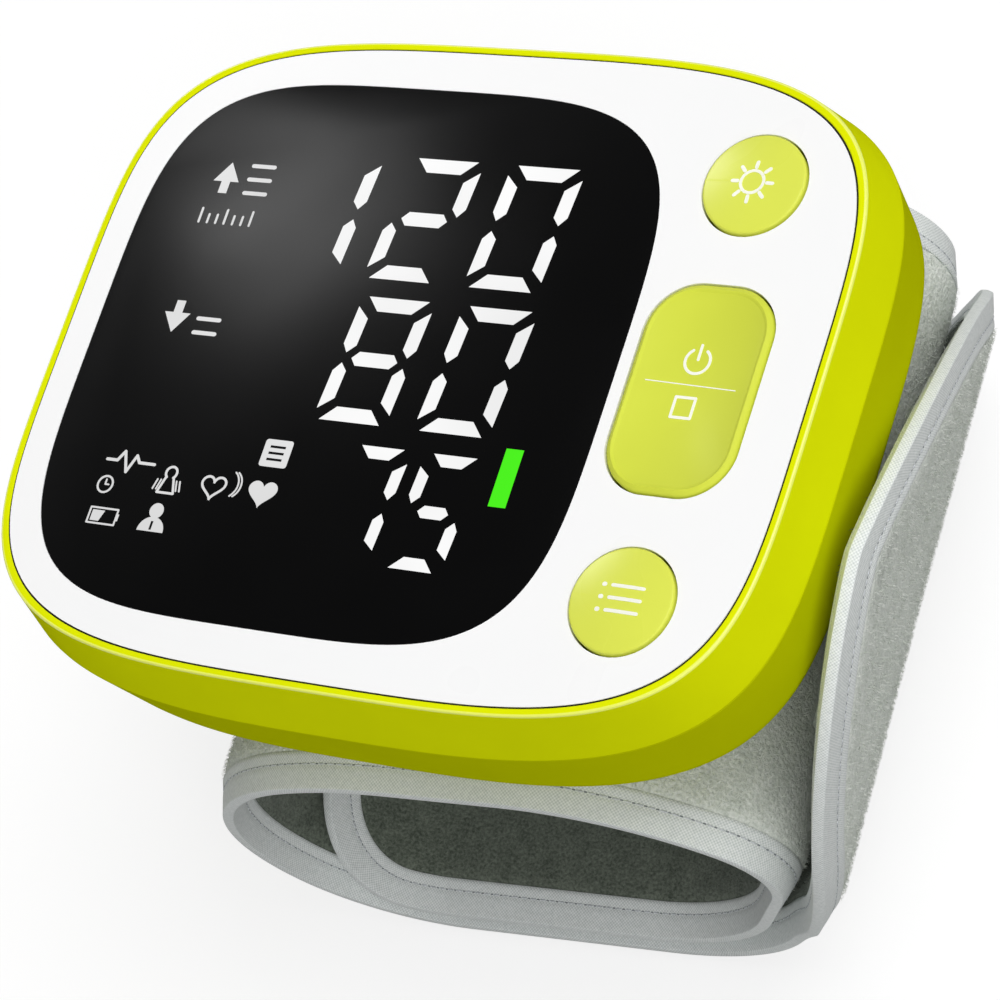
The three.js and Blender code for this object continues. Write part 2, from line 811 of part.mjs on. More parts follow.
// Skins rings that don't lie level, with fans over both ends
function skinned(rings) {
  const positions = [];
  const faces = [];
  const count = rings[0].length;
  rings.flat().forEach((p) => positions.push(p.x, p.y, p.z));
  for (let ring = 0; ring < rings.length - 1; ring += 1) {
    for (let i = 0; i < count; i += 1) {
      const next = (i + 1) % count;
      const a = ring * count + i;
      const b = ring * count + next;
      const c = (ring + 1) * count + next;
      const d = (ring + 1) * count + i;
      faces.push(a, b, c, a, c, d);
    }
  }
  const last = (rings.length - 1) * count;
  for (let i = 1; i < count - 1; i += 1) {
    faces.push(0, i + 1, i);
    faces.push(last, last + i, last + i + 1);
  }
  return indexed(positions, faces);
}

function pumpMotor() {
  const start = -(pumpHeadHalfLength + fitGap);
  const end = start - motorLength;
  const can = bar(
    motorRadius,
    new THREE.Vector3(pumpX, start, -airLineDepth),
    new THREE.Vector3(pumpX, end, -airLineDepth),
    outlineSteps / 3,
  );
  const flats = block(
    motorRadius + cutOverrun,
    motorLength,
    airLineDepth - motorFlatHalf,
    airLineDepth + motorFlatHalf,
    pumpX,
    (start + end) / 2,
  );
  const bearing = bar(
    motorBossRadius,
    new THREE.Vector3(pumpX, end + motorBossLength, -airLineDepth),
    new THREE.Vector3(pumpX, end - motorBossLength, -airLineDepth),
  );
  return joined(common(can, flats), bearing);
}

function airManifold() {
  const column = post(manifoldRadius, manifoldTopDepth, airLineDepth + manifoldRadius, nozzleX, 0);
  const barbAt = (depth, toX, toY) => bar(
    barbRadius,
    new THREE.Vector3(nozzleX, 0, -depth),
    new THREE.Vector3(nozzleX + toX, toY, -depth),
  );
  const reach = manifoldRadius + barbLength;
  return joined(
    column,
    barbAt(airLineDepth, reach, 0),
    barbAt(airLineDepth, 0, reach),
    barbAt(sensorLineDepth, 0, -reach),
  );
}

// A nozzle from the bladder up through the curler, the cloth, the plate and the case floor
function airNozzle() {
  const bottom = bodyBottomDepth + fitGap + clothThickness + fitGap + curlerThickness;
  const profile = [
    new THREE.Vector2(nozzleBoreRadius, -bottom),
    new THREE.Vector2(nozzleRadius, -bottom),
    new THREE.Vector2(nozzleRadius, -nozzleTopDepth),
    new THREE.Vector2(nozzleBoreRadius, -nozzleTopDepth),
    new THREE.Vector2(nozzleBoreRadius, -bottom),
  ];
  const tube = new THREE.LatheGeometry(profile, screwSteps);
  tube.rotateX(QUARTER_TURN);
  tube.translate(nozzleX, 0, 0);
  return tube;
}

function hose(from, to) {
  const outer = bar(hoseRadius, from, to);
  const along = to.clone().sub(from).setLength(cutOverrun);
  const bore = bar(hoseBoreRadius, from.clone().sub(along), to.clone().add(along));
  return cut(outer, bore);
}

function pumpHose() {
  const from = new THREE.Vector3(nozzleX + manifoldRadius + fitGap, 0, -airLineDepth);
  const to = new THREE.Vector3(pumpX - pumpHeadHalf - fitGap, 0, -airLineDepth);
  return hose(from, to);
}

function valveHose() {
  const from = new THREE.Vector3(nozzleX, manifoldRadius + fitGap, -airLineDepth);
  const to = new THREE.Vector3(nozzleX, valveY - fitGap, -airLineDepth);
  return hose(from, to);
}

function sensorHose() {
  const from = new THREE.Vector3(nozzleX, -manifoldRadius - fitGap, -sensorLineDepth);
  const to = new THREE.Vector3(nozzleX, sensorY + sensorHalf + fitGap, -sensorLineDepth);
  return hose(from, to);
}

function releaseValve() {
  const coil = bar(
    valveRadius,
    new THREE.Vector3(nozzleX, valveY + valveYokeThickness / 2, -airLineDepth),
    new THREE.Vector3(nozzleX, valveY + valveLength, -airLineDepth),
    outlineSteps / 3,
  );
  const yoke = (y) => {
    const plate = new THREE.BoxGeometry(2 * valveYokeHalf, valveYokeThickness, 2 * valveYokeHalf);
    plate.translate(nozzleX, y, -airLineDepth);
    return plate;
  };
  const port = bar(
    barbRadius,
    new THREE.Vector3(nozzleX, valveY - portLength, -airLineDepth),
    new THREE.Vector3(nozzleX, valveY + valveYokeThickness, -airLineDepth),
  );
  return joined(coil, yoke(valveY + valveYokeThickness / 2), yoke(valveY + valveLength), port);
}

function pressureSensor() {
  const top = boardBottomDepth + solderGap;
  const body = block(sensorHalf, sensorHalf, top, top + sensorHeight, nozzleX, sensorY);
  const port = bar(
    barbRadius,
    new THREE.Vector3(nozzleX, sensorY, -sensorLineDepth),
    new THREE.Vector3(nozzleX, sensorY + sensorHalf + portLength, -sensorLineDepth),
  );
  return joined(body, port);
}

// Fasteners

function caseScrew([x, y]) {
  const headTop = counterboreTopDepth + fitGap;
  const head = post(screwHeadRadius, headTop, headTop + screwHeadHeight, x, y);
  const shank = post(screwShankRadius, pilotStopDepth + fitGap, headTop + screwHeadHeight / 2, x, y);
  return joined(head, shank);
}

function plateScrew([x, y]) {
  const headBottom = innerPadDepth - fitGap;
  const headTop = headBottom - plateScrewHeadHeight;
  const head = post(plateScrewHeadRadius, headTop, headBottom, x, y);
  const shank = post(plateScrewRadius, headTop + plateScrewHeadHeight / 2, plateTopDepth + plateScrewBite, x, y);
  return joined(head, shank);
}

function cuffPlate() {
  const plate = slab(plateOutline(0), plateTopDepth, bodyBottomDepth);
  const bites = plateScrewPlaces.map(([x, y]) => {
    return post(plateScrewRadius + fitGap, backDepth - plateThickness, plateTopDepth + plateScrewBite + fitGap / 2, x, y);
  });
  const nozzleHole = post(nozzleRadius + fitGap, 0, bodyBottomDepth + cutOverrun, nozzleX, 0);
  return cut(plate, nozzleHole, ...bites);
}

// Cuff: the route of the band

const lowerRightTurn = HALF_TURN - rightTurn - upperRightTurn;
const upperRightDrop = upperRightRadius * (1 - Math.cos(upperRightTurn))
  + rightRadius * (Math.cos(upperRightTurn) - Math.cos(upperRightTurn + rightTurn));
const lowerRightDrop = lowerRightRadius * (1 - Math.cos(lowerRightTurn));
const innerLayerRise = bandThickness + layerGap;
const rightRunDrop = loopDrop - innerLayerRise - upperRightDrop - lowerRightDrop;
const rightRunLength = rightRunDrop / Math.sin(lowerRightTurn);

// Where the flat bottom run starts on the left, and how long it is
const seatEndX = seatStartX - seatRunLength;
const shoulderReach = shoulderRadius * Math.sin(shoulderTurn);
const leftReach = leftRadius * (Math.sin(shoulderTurn + leftTurn) - Math.sin(shoulderTurn));
const lowerLeftReach = -lowerLeftRadius * Math.sin(shoulderTurn + leftTurn);
const bottomStartX = seatEndX - shoulderReach - leftReach - lowerLeftReach;
const bottomRunLength = cornerStartX - bottomStartX;

// The inner end lies inside the left bends, one layer further in, and its flat run ends
// where the lower right bend begins
const lowerRightReach = lowerRightRadius * Math.sin(lowerRightTurn)
  + rightRunLength * Math.cos(lowerRightTurn)
  + rightRadius * (Math.sin(upperRightTurn) - Math.sin(lowerRightTurn))
  - upperRightRadius * Math.sin(upperRightTurn);
const innerRunLength = seatStartX - lowerRightReach - bottomStartX;

const loopSegments = [
  { radius: leftRadius - innerLayerRise, turn: innerEndTurn },
  { radius: lowerLeftRadius - innerLayerRise, turn: lowerLeftTurn },
  { length: innerRunLength },
  { radius: lowerRightRadius, turn: lowerRightTurn },
  { length: rightRunLength },
  { radius: rightRadius, turn: rightTurn },
  { radius: upperRightRadius, turn: upperRightTurn },
  { length: seatRunLength },
  { radius: shoulderRadius, turn: shoulderTurn },
  { radius: leftRadius, turn: leftTurn },
  { radius: lowerLeftRadius, turn: lowerLeftTurn },
  { length: bottomRunLength },
  { radius: cornerRadius, turn: cornerTurn },
];
const segmentsBeforeSeat = 7;
const flapSegments = [
  { radius: flapRadius, turn: flapTurn },
  { length: flapTipRun },
];

function segmentLength(segment) {
  return segment.length ?? segment.radius * segment.turn;
}

function totalLength(segments) {
  return segments.reduce((sum, segment) => sum + segmentLength(segment), 0);
}

const hingeLength = totalLength(loopSegments);
const bandLength = hingeLength + totalLength(flapSegments);

// A point of the middle layer a given length from the inner end, before it is set in place
function walk(length) {
  let x = 0;
  let z = 0;
  let heading = -(innerEndTurn + lowerLeftTurn);
  let left = length;
  for (const segment of [...loopSegments, ...flapSegments]) {
    const used = Math.min(left, segmentLength(segment));
    if (segment.length === undefined) {
      const next = heading + used / segment.radius;
      x += segment.radius * (Math.sin(next) - Math.sin(heading));
      z += segment.radius * (Math.cos(heading) - Math.cos(next));
      heading = next;
    } else {
      x += used * Math.cos(heading);
      z += used * Math.sin(heading);
    }
    left -= used;
    if (left <= 0) break;
  }
  return { x, z, heading };
}

const seatStartLength = totalLength(loopSegments.slice(0, segmentsBeforeSeat));
const seatStart = walk(seatStartLength);

function station(length) {
  const point = walk(length);
  const x = point.x - seatStart.x + seatStartX;
  const z = point.z - seatStart.z + seatHeight;
  return { x, z, heading: point.heading };
}

// From the flat pattern to the wound band: length along, place across, offset outwards
function onBand(length, across, outward) {
  const { x, z, heading } = station(length);
  const slant = edgeSlantShare * x - flapSlantShare * Math.max(0, length - hingeLength);
  return new THREE.Vector3(
    x + outward * Math.sin(heading),
    bandCentreY + across + slant,
    z - outward * Math.cos(heading),
  );
}

// Lengths at which the band is sampled: the ends of the segments and steps along the bends
function stopsBetween(from, to) {
  const stops = [from];
  let start = 0;
  for (const segment of [...loopSegments, ...flapSegments]) {
    const length = segmentLength(segment);
    const bendSteps = segment.turn ? Math.ceil(segment.turn / arcStep) : 1;
    const steps = Math.max(bendSteps, segment.turn ? Math.ceil(length / longestStep) : 1);
    for (let i = 0; i <= steps; i += 1) {
      const stop = start + (i / steps) * length;
      const apart = stop - stops[stops.length - 1];
      if (apart > shortestStep && to - stop > shortestStep) stops.push(stop);
    }
    start += length;
  }
  stops.push(to);
  return stops;
}

// Borders of the flat pattern, as points with their inward directions. Each starts at the
// hinge on the front edge and comes back to the hinge on the back edge, as a mirror image.

function mirrored(half) {
  const back = half.map((p) => ({ along: p.along, across: -p.across, inAlong: p.inAlong, inAcross: -p.inAcross }));
  return [...half, ...back.reverse()];
}

function straightBorder(stops, halfWidth) {
  return stops.map((along) => ({ along, across: -halfWidth, inAlong: 0, inAcross: 1 }));
}

// The part of the band that forms the loop, with round corners at its inner end
function loopBorder(halfWidth, start, end, radius) {
  const border = straightBorder(stopsBetween(start + radius, end).reverse(), halfWidth);
  for (let i = 1; i <= cornerArcSteps; i += 1) {
    const angle = (i / cornerArcSteps) * QUARTER_TURN;
    border.push({
      along: start + radius * (1 - Math.sin(angle)),
      across: -halfWidth + radius * (1 - Math.cos(angle)),
      inAlong: Math.sin(angle),
      inAcross: Math.cos(angle),
    });
  }
  return mirrored(border);
}

// The flap: straight from the hinge, then a rounded tongue
function flapBorder(halfWidth, start) {
  const tongueStart = bandLength - tongueLength;
  const border = straightBorder(stopsBetween(start, tongueStart), halfWidth);
  for (let i = 1; i <= tongueSteps; i += 1) {
    const angle = (i / (tongueSteps + 0.5)) * QUARTER_TURN;
    const c = Math.cos(angle) ** (2 / tonguePower);
    const s = Math.sin(angle) ** (2 / tonguePower);
    const slopeAlong = s ** (tonguePower - 1) / tongueLength;
    const slopeAcross = c ** (tonguePower - 1) / halfWidth;
    const size = Math.hypot(slopeAlong, slopeAcross);
    border.push({
      along: tongueStart + tongueLength * s,
      across: -halfWidth * c,
      inAlong: -slopeAlong / size,
      inAcross: slopeAcross / size,
    });
  }
  return mirrored(border);
}

// A sheet inside a border: rings at given distances from it, each with an outer and an inner
// offset from the middle layer, and straight lines across between the two halves
function sheet(border, rings) {
  const positions = [];
  const faces = [];
  const count = border.length;
  const sides = [0, 1];
  const at = (side, ring, i) => (side * rings.length + ring) * count + i;
  for (const side of sides) {
    for (const ring of rings) {
      for (const p of border) {
        const along = p.along + ring.inset * p.inAlong;
        const across = p.across + ring.inset * p.inAcross;
        const offset = side === 0 ? ring.outer : ring.inner;
        const point = onBand(along, across, offset);
        positions.push(point.x, point.y, point.z);
      }
    }
  }
  const quad = (a, b, c, d, flip) => {
    if (flip) faces.push(a, c, b, a, d, c);
    else faces.push(a, b, c, a, c, d);
  };
  const lastRing = rings.length - 1;
  for (const side of sides) {
    for (let ring = 0; ring < lastRing; ring += 1) {
      for (let i = 0; i < count - 1; i += 1) {
        quad(at(side, ring, i), at(side, ring, i + 1), at(side, ring + 1, i + 1), at(side, ring + 1, i), side === 1);
      }
    }
    for (let i = 0; i < count / 2 - 1; i += 1) {
      const j = count - 1 - i;
      quad(at(side, lastRing, i), at(side, lastRing, i + 1), at(side, lastRing, j - 1), at(side, lastRing, j), side === 1);
    }
  }
  for (let i = 0; i < count - 1; i += 1) {
    quad(at(1, 0, i), at(1, 0, i + 1), at(0, 0, i + 1), at(0, 0, i), false);
  }
  const end = count - 1;
  for (let ring = 0; ring < lastRing; ring += 1) {
    quad(at(1, ring, 0), at(0, ring, 0), at(0, ring + 1, 0), at(1, ring + 1, 0), false);
    quad(at(0, ring, end), at(1, ring, end), at(1, ring + 1, end), at(0, ring + 1, end), false);
  }
  quad(at(1, lastRing, 0), at(0, lastRing, 0), at(0, lastRing, end), at(1, lastRing, end), false);
  return indexed(positions, faces);
}

// The binding tape: a folded section carried along a border
function tapeAlong(border) {
  const half = bandThickness / 2;
  const inside = half - tapeThickness;
  const noseShare = 0.7;
  const section = [
    [tapeWidth, half],
    [tapeNose, half],
    [tapeNose * (1 - noseShare), half * noseShare],
    [0, 0],
    [tapeNose * (1 - noseShare), -half * noseShare],
    [tapeNose, -half],
    [tapeWidth, -half],
    [tapeWidth, -inside],
    [tapeThickness, -inside],
    [tapeThickness, inside],
    [tapeWidth, inside],
  ];
  const positions = [];
  const faces = [];
  const count = section.length;
  border.forEach((p) => {
    section.forEach(([inset, offset]) => {
      const point = onBand(p.along + inset * p.inAlong, p.across + inset * p.inAcross, offset);
      positions.push(point.x, point.y, point.z);
    });
  });
  for (let step = 0; step < border.length - 1; step += 1) {
    for (let i = 0; i < count; i += 1) {
      const next = (i + 1) % count;
      const a = step * count + i;
      const b = step * count + next;
      const c = (step + 1) * count + next;
      const d = (step + 1) * count + i;
      faces.push(a, b, c, a, c, d);
    }
  }
  const last = (border.length - 1) * count;
  const flat = section.map(([inset, offset]) => new THREE.Vector2(inset, offset));
  THREE.ShapeUtils.triangulateShape(flat, []).forEach(([a, b, c]) => {
    faces.push(b, a, c);
    faces.push(last + a, last + b, last + c);
  });
  return indexed(positions, faces);
}

// Layers of the band, from the outside inwards
const clothOuter = bandThickness / 2;
const clothInner = clothOuter - clothThickness;
const curlerOuter = clothInner - fitGap;
const curlerInner = curlerOuter - curlerThickness;
const bladderOuter = curlerInner - fitGap;
const bladderInner = bladderOuter - bladderThickness;
const pinchOuter = clothOuter - tapeThickness - fitGap;
const pinchInner = pinchOuter - clothThickness;

const outerClothRings = [
  { inset: clothEdgeInset, outer: pinchOuter, inner: pinchInner },
  { inset: tapeWidth + fitGap, outer: pinchOuter, inner: pinchInner },
  { inset: tapeWidth + pinchWidth, outer: clothOuter, inner: clothInner },
];
const liningRings = outerClothRings.map((ring) => {
  return { inset: ring.inset, outer: -ring.inner, inner: -ring.outer };
});

const loopEdge = loopBorder(bandWidth / 2, 0, hingeLength, innerEndCornerRadius);
const flapEdge = flapBorder(bandWidth / 2, hingeLength - bandThickness / 2);

// The fold at the foot of the flap: the loop ends hollow and the flap ends round about it

const foldRadius = bandThickness / 2 + partingGap;

function foldBar(radius) {
  const { x, z } = station(hingeLength);
  const reach = bandWidth;
  return bar(radius, new THREE.Vector3(x, -reach, z), new THREE.Vector3(x, reach, z), outlineSteps / 2);
}

function loopSide(geometry) {
  return cut(geometry, foldBar(foldRadius + fitGap));
}

function flapSide(geometry) {
  const { x, z, heading } = station(hingeLength);
  const before = new THREE.BoxGeometry(bandThickness, 2 * bandWidth, 2 * bandThickness);
  before.translate(-bandThickness / 2, 0, 0);
  before.rotateY(-heading);
  before.translate(x, 0, z);
  return cut(geometry, cut(before, foldBar(foldRadius)));
}

function cuffShell() {
  const cloth = sheet(loopEdge, outerClothRings);
  return cut(loopSide(cloth), cuffBore(nozzleRadius + fitGap));
}

// A vertical cut through the seat of the band, at the nozzle
function cuffBore(radius) {
  const height = bandThickness + cutOverrun;
  const bore = new THREE.CylinderGeometry(radius, radius, height, screwSteps);
  bore.rotateX(QUARTER_TURN);
  const place = new THREE.Vector3(nozzleX, 0, seatHeight + bandThickness / 2);
  place.applyAxisAngle(new THREE.Vector3(0, 0, 1), -cuffTurn);
  bore.translate(place.x, place.y, place.z);
  return bore;
}

function innerSheet(halfWidth, start, end, outer, inner) {
  const border = loopBorder(halfWidth, start, end, linerMargin);
  return sheet(border, [{ inset: 0, outer, inner }]);
}

function curlerSheet() {
  const sheetEnd = hingeLength - linerMargin;
  const curler = innerSheet(curlerHalfWidth, linerMargin, sheetEnd, curlerOuter, curlerInner);
  return cut(curler, cuffBore(curlerHoleRadius));
}

function airBladder() {
  const bladderStart = totalLength(loopSegments.slice(0, 2)) + linerMargin;
  const bladderEnd = hingeLength - cornerRadius * cornerTurn - linerMargin;
  return innerSheet(bladderHalfWidth, bladderStart, bladderEnd, bladderOuter, bladderInner);
}

// The hook patch on the inner face of the flap
function hookPatch() {
  const start = hingeLength + hookFromHinge - hookHalfLength;
  const end = hingeLength + hookFromHinge + hookHalfLength;
  const stops = stopsBetween(start, end);
  const border = mirrored(straightBorder(stops, hookHalfWidth));
  const outer = -bandThickness / 2 - fitGap;
  return sheet(border, [{ inset: 0, outer, inner: outer - hookThickness }]);
}

// Assembly

function piece(name, geometry, material) {
  const flat = geometry.index ? geometry.toNonIndexed() : geometry;
  flat.deleteAttribute('normal');
  flat.computeVertexNormals();
  const mesh = new THREE.Mesh(flat, material);
  mesh.name = name;
  return mesh;
}

const body = new THREE.Group();
body.position.z = faceHeight;
body.add(
  piece('front_case', frontCase(), limeCase),
  piece('back_case', backCase(), limeCase),
  piece('face_panel', facePanel(), whitePanel),
  piece('display_lens', displayLens(), blackGlass),
  piece('display_module', displayModule(), darkModule),
  piece('main_board', mainBoard(), greenBoard),
  piece('set_button', roundButton(roundButtonY), limeKey),
  piece('start_button', longButton(), limeKey),
  piece('memory_button', roundButton(-roundButtonY), limeKey),
  piece('set_switch', domeSwitch(roundButtonY), switchMetal),
  piece('start_switch', domeSwitch(0), switchMetal),
  piece('memory_switch', domeSwitch(-roundButtonY), switchMetal),
  piece('battery_tray', batteryTray(), trayPlastic),
  piece('battery_door', batteryDoor(), limeCase),
  piece('battery_cell_1', batteryCell(outerCellX, -1), cellSleeve),
  piece('battery_cell_2', batteryCell(innerCellX, 1), cellSleeve),
  piece(
    'contact_bridge',
    joined(contactPlate(cellsCentreX, cellSpacing / 2 + contactHalfWidth, 1), contactBump(innerCellX, 1)),
    contactMetal,
  ),
  piece(
    'contact_plus',
    joined(contactPlate(outerCellX, contactHalfWidth, -1), contactBump(outerCellX, -1)),
    contactMetal,
  ),
  piece('contact_minus', contactPlate(innerCellX, contactHalfWidth, -1), contactMetal),
  piece('contact_spring_1', contactSpring(outerCellX, 1), contactMetal),
  piece('contact_spring_2', contactSpring(innerCellX, -1), contactMetal),
  piece('pump_head', pumpHead(), blackPlastic),
  piece('pump_motor', pumpMotor(), steel),
  piece('release_valve', releaseValve(), steel),
  piece('pressure_sensor', pressureSensor(), blackPlastic),
  piece('air_manifold', airManifold(), trayPlastic),
  piece('pump_hose', pumpHose(), silicone),
  piece('valve_hose', valveHose(), silicone),
  piece('sensor_hose', sensorHose(), silicone),
  piece('air_nozzle', airNozzle(), blackPlastic),
  piece('cuff_plate', cuffPlate(), plateGrey),
);
bossPlaces.forEach((place, i) => {
  body.add(piece(`case_screw_${i + 1}`, caseScrew(place), steel));
});
plateScrewPlaces.forEach((place, i) => {
  body.add(piece(`plate_screw_${i + 1}`, plateScrew(place), steel));
});

const cuff = new THREE.Group();
cuff.rotation.z = cuffTurn;
cuff.add(
  piece('cuff_shell', cuffShell(), fleece),
  piece('cuff_lining', loopSide(sheet(loopEdge, liningRings)), fleece),
  piece('cuff_binding', loopSide(tapeAlong(loopEdge)), tape),
  piece('curler_sheet', curlerSheet(), curlerSheetPlastic),
  piece('air_bladder', airBladder(), bladderRubber),
  piece('flap_shell', flapSide(sheet(flapEdge, outerClothRings)), fleece),
  piece('flap_lining', flapSide(sheet(flapEdge, liningRings)), fleece),
  piece('flap_binding', flapSide(tapeAlong(flapEdge)), tape),
  piece('hook_patch', hookPatch(), hookFabric),
);

const monitor = new THREE.Group();
monitor.add(body, cuff);

export default monitor;
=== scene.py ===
# Wrist blood pressure monitor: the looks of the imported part, built round its frame.
# Metres, +Z up out of the display, +Y towards the display's top, +X to its right.

import math

import bmesh
import bpy
import numpy as np
from mathutils import Matrix, Vector, noise

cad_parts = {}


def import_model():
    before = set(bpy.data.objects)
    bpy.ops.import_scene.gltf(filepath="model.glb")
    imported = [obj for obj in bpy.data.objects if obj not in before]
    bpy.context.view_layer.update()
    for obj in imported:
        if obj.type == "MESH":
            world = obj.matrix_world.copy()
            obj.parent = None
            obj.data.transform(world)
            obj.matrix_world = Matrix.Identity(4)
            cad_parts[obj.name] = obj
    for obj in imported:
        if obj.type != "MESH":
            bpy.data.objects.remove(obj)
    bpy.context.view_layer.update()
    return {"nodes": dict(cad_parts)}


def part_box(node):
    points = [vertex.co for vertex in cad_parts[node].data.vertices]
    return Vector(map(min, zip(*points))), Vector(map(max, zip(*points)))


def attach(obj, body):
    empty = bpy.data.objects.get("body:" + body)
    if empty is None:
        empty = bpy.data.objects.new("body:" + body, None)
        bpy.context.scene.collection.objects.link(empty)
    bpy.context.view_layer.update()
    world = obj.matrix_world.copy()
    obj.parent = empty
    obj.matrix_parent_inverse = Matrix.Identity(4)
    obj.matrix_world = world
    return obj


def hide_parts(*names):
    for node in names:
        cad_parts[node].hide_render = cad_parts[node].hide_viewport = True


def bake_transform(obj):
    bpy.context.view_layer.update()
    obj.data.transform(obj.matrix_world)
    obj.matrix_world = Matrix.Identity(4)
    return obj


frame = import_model()

MM = 0.001
GRAIN_HEIGHT = 0.02 * MM
LINE_HEIGHT = 0.01 * MM
FLEECE_HEIGHT = 0.25 * MM
WEAVE_HEIGHT = 0.08 * MM
QUARTER_TURN = math.pi / 2
FULL_TURN = 2 * math.pi

# Camera, from the fit of the face's outlines in the photograph
LENS = 141.47
SENSOR = 36.0
CLIP = (0.01, 20)
CAMERA_FROM_FACE = (195.39 * MM, -122.70 * MM, 284.21 * MM)
CAMERA_RIGHT = (0.8519083, 0.3002779, -0.4290517)
CAMERA_DOWN = (0.1075483, -0.9021372, -0.4178298)
CAMERA_FORWARD = (-0.5125286, 0.3098090, -0.8008326)

# Face panel, window and housing outlines
PANEL_HALF_WIDTH = 40.5 * MM
PANEL_HALF_HEIGHT = 32.5 * MM
PANEL_THICKNESS = 1.2 * MM
PANEL_POWER_X = 3.68
PANEL_POWER_Y = 4.57
OUTLINE_STEPS = 288
WINDOW_CENTRE_X = -8.3 * MM
WINDOW_HALF_WIDTH = 29.2 * MM
WINDOW_HALF_HEIGHT = 28.45 * MM
WINDOW_POWER_X = 4.03
WINDOW_POWER_Y = 4.31
WINDOW_GAP = 0.03 * MM
SEAM_GAP = 0.3 * MM
FIT_GAP = 0.3 * MM
PARTING_GAP = 0.02 * MM
RIM_WIDTH = 0.52 * MM
RIM_BEVEL = 0.25 * MM
HIGHLIGHT_LEVEL_SHARE = 0.985
CREASE_OUT_X = 2.3 * MM
CREASE_OUT_Y = 3.1 * MM
CREASE_DEPTH = 6.3 * MM
CREASE_ROUND = 0.1 * MM
CREASE_TURN_IN = 0.3
CREASE_TURN_OFF = 0.15
HOUSING_POWER_X = 3.1
HOUSING_POWER_Y = 4.45
SKIRT_OUT_X = 1.33 * MM
SKIRT_OUT_Y = 2.4 * MM
SKIRT_DEPTH = 14.1 * MM
BELLY_INSET = 14.5 * MM
BACK_DEPTH = 19.7 * MM
BELLY_STEPS = 14
WALL = 1.4 * MM
FLOOR = 1.2 * MM
DECK_TOP_DEPTH = 1.5 * MM
DECK_BOTTOM_DEPTH = 2.7 * MM
FRONT_INNER_OUT_X = 0.6 * MM
FRONT_INNER_OUT_Y = 0.8 * MM
LIP_HEIGHT = 0.8 * MM
LIP_THICKNESS = 0.8 * MM
CUT_OVERRUN = 1 * MM

# Display module opening, buttons and battery door
MODULE_HALF_WIDTH = 26.5 * MM
MODULE_HALF_HEIGHT = 23.7 * MM
MODULE_CORNER = 4 * MM
BUTTON_X = 28.9 * MM
ROUND_RADIUS = 5.1 * MM
ROUND_Y = 20.8 * MM
ROUND_DOME = 0.35 * MM
LONG_HALF_WIDTH = 6.5 * MM
LONG_HALF_HEIGHT = 10.4 * MM
LONG_CORNER = 4.9 * MM
LONG_SLOPE_FOOT = 0.05 * MM
LONG_SLOPE_RUN = 0.5 * MM
LONG_RIDGE_RUN = 0.3 * MM
LONG_RIDGE_DROP = 0.16 * MM
LONG_FOOT_SHARE = 0.3
LONG_FOOT_RUN_SHARE = 0.08
LONG_SLOPE_POWER = 0.9
LONG_RIDGE_POWER = 1.3
BUTTON_PROUD = 0.35 * MM
BUTTON_BEVEL = 0.25 * MM
BUTTON_GAP = 0.2 * MM
BUTTON_STEPS = 160
ROUND_BEVEL_STEPS = 4
DOME_STEPS = 14
FLANGE_WIDTH = 0.8 * MM
FLANGE_TOP_DEPTH = 3.0 * MM
FLANGE_BOTTOM_DEPTH = 3.6 * MM
BOSS_LEFT_X = -9.2 * MM
BOSS_RIGHT_X = 18.6 * MM
BOSS_Y = 27.6 * MM
BACK_BOSS_RADIUS = 3.3 * MM
BOSS_TOP_DEPTH = 9.0 * MM
SCREW_HOLE_RADIUS = 1.2 * MM
COUNTERBORE_RADIUS = 2.2 * MM
COUNTERBORE_DEPTH = 15.4 * MM
DOOR_INNER_X = -13.7 * MM
DOOR_HALF_LENGTH = 23.8 * MM
DOOR_TOP_DEPTH = 9.2 * MM
GRIP_COUNT = 4
GRIP_PITCH = 2.2 * MM
GRIP_HALF_LENGTH = 6 * MM
GRIP_HEIGHT = 0.35 * MM
GRIP_WIDTH = 0.9 * MM
GRIP_X = -20 * MM
PLATE_CENTRE_X = 2.5 * MM
PLATE_HALF_WIDTH = 11.5 * MM
PLATE_HALF_LENGTH = 24 * MM
PLATE_CORNER = 4 * MM
PLATE_THICKNESS = 1.4 * MM
PLATE_PROUD = 0.3 * MM
EDGE_ROUND = 0.06 * MM
EDGE_SHARE = 0.3
PANEL_GROWTH = 0.14 * MM
# The seam's ring of painted shade
SEAM_SHADE_DEPTH = 0.12 * MM
SEAM_SHADE_INNER_SHARE = 0.9
SEAM_SHADE_OUTER_SHARE = 1.1

# Cuff: the band's make-up as in the frame, and its visible route, fitted to the photograph
BAND_THICKNESS = 3.2 * MM
BAND_WIDTH = 69 * MM
TAPE_WIDTH = 3.6 * MM
TAPE_THICKNESS = 0.45 * MM
SEAT_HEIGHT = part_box("face_panel")[1].z - (BAND_THICKNESS / 2 + FIT_GAP + BACK_DEPTH + PLATE_PROUD)
INNER_END_TURN = math.radians(14)
LOWER_RIGHT_RADIUS = 20.2 * MM
RIGHT_RADIUS = 10.7 * MM
RIGHT_TURN = math.radians(74.3)
UPPER_RIGHT_RADIUS = 26.7 * MM
UPPER_RIGHT_TURN = math.radians(45.9)
SEAT_RUN = 12.2 * MM
SEAT_START_X = 8.4 * MM
SHOULDER_RADIUS = 36 * MM
SHOULDER_TURN = math.radians(22)
LEFT_RADIUS = 22.4 * MM
LEFT_TURN = math.radians(88)
LOWER_LEFT_RADIUS = 16 * MM
CORNER_RADIUS = 22.9 * MM
CORNER_TURN = math.radians(53)
CORNER_START_X = 8.4 * MM
FLAP_RADIUS = 71.7 * MM
FLAP_TURN = math.radians(20)
FLAP_TIP_RUN = 27.5 * MM
LAYER_RISE = BAND_THICKNESS + 0.6 * MM
BAND_CENTRE_Y = -0.9 * MM
EDGE_SLANT = math.tan(math.radians(2))
FLAP_SLANT = 0.275
SLANT_EASE = 6 * MM
FAR_CURL = 4.5 * MM
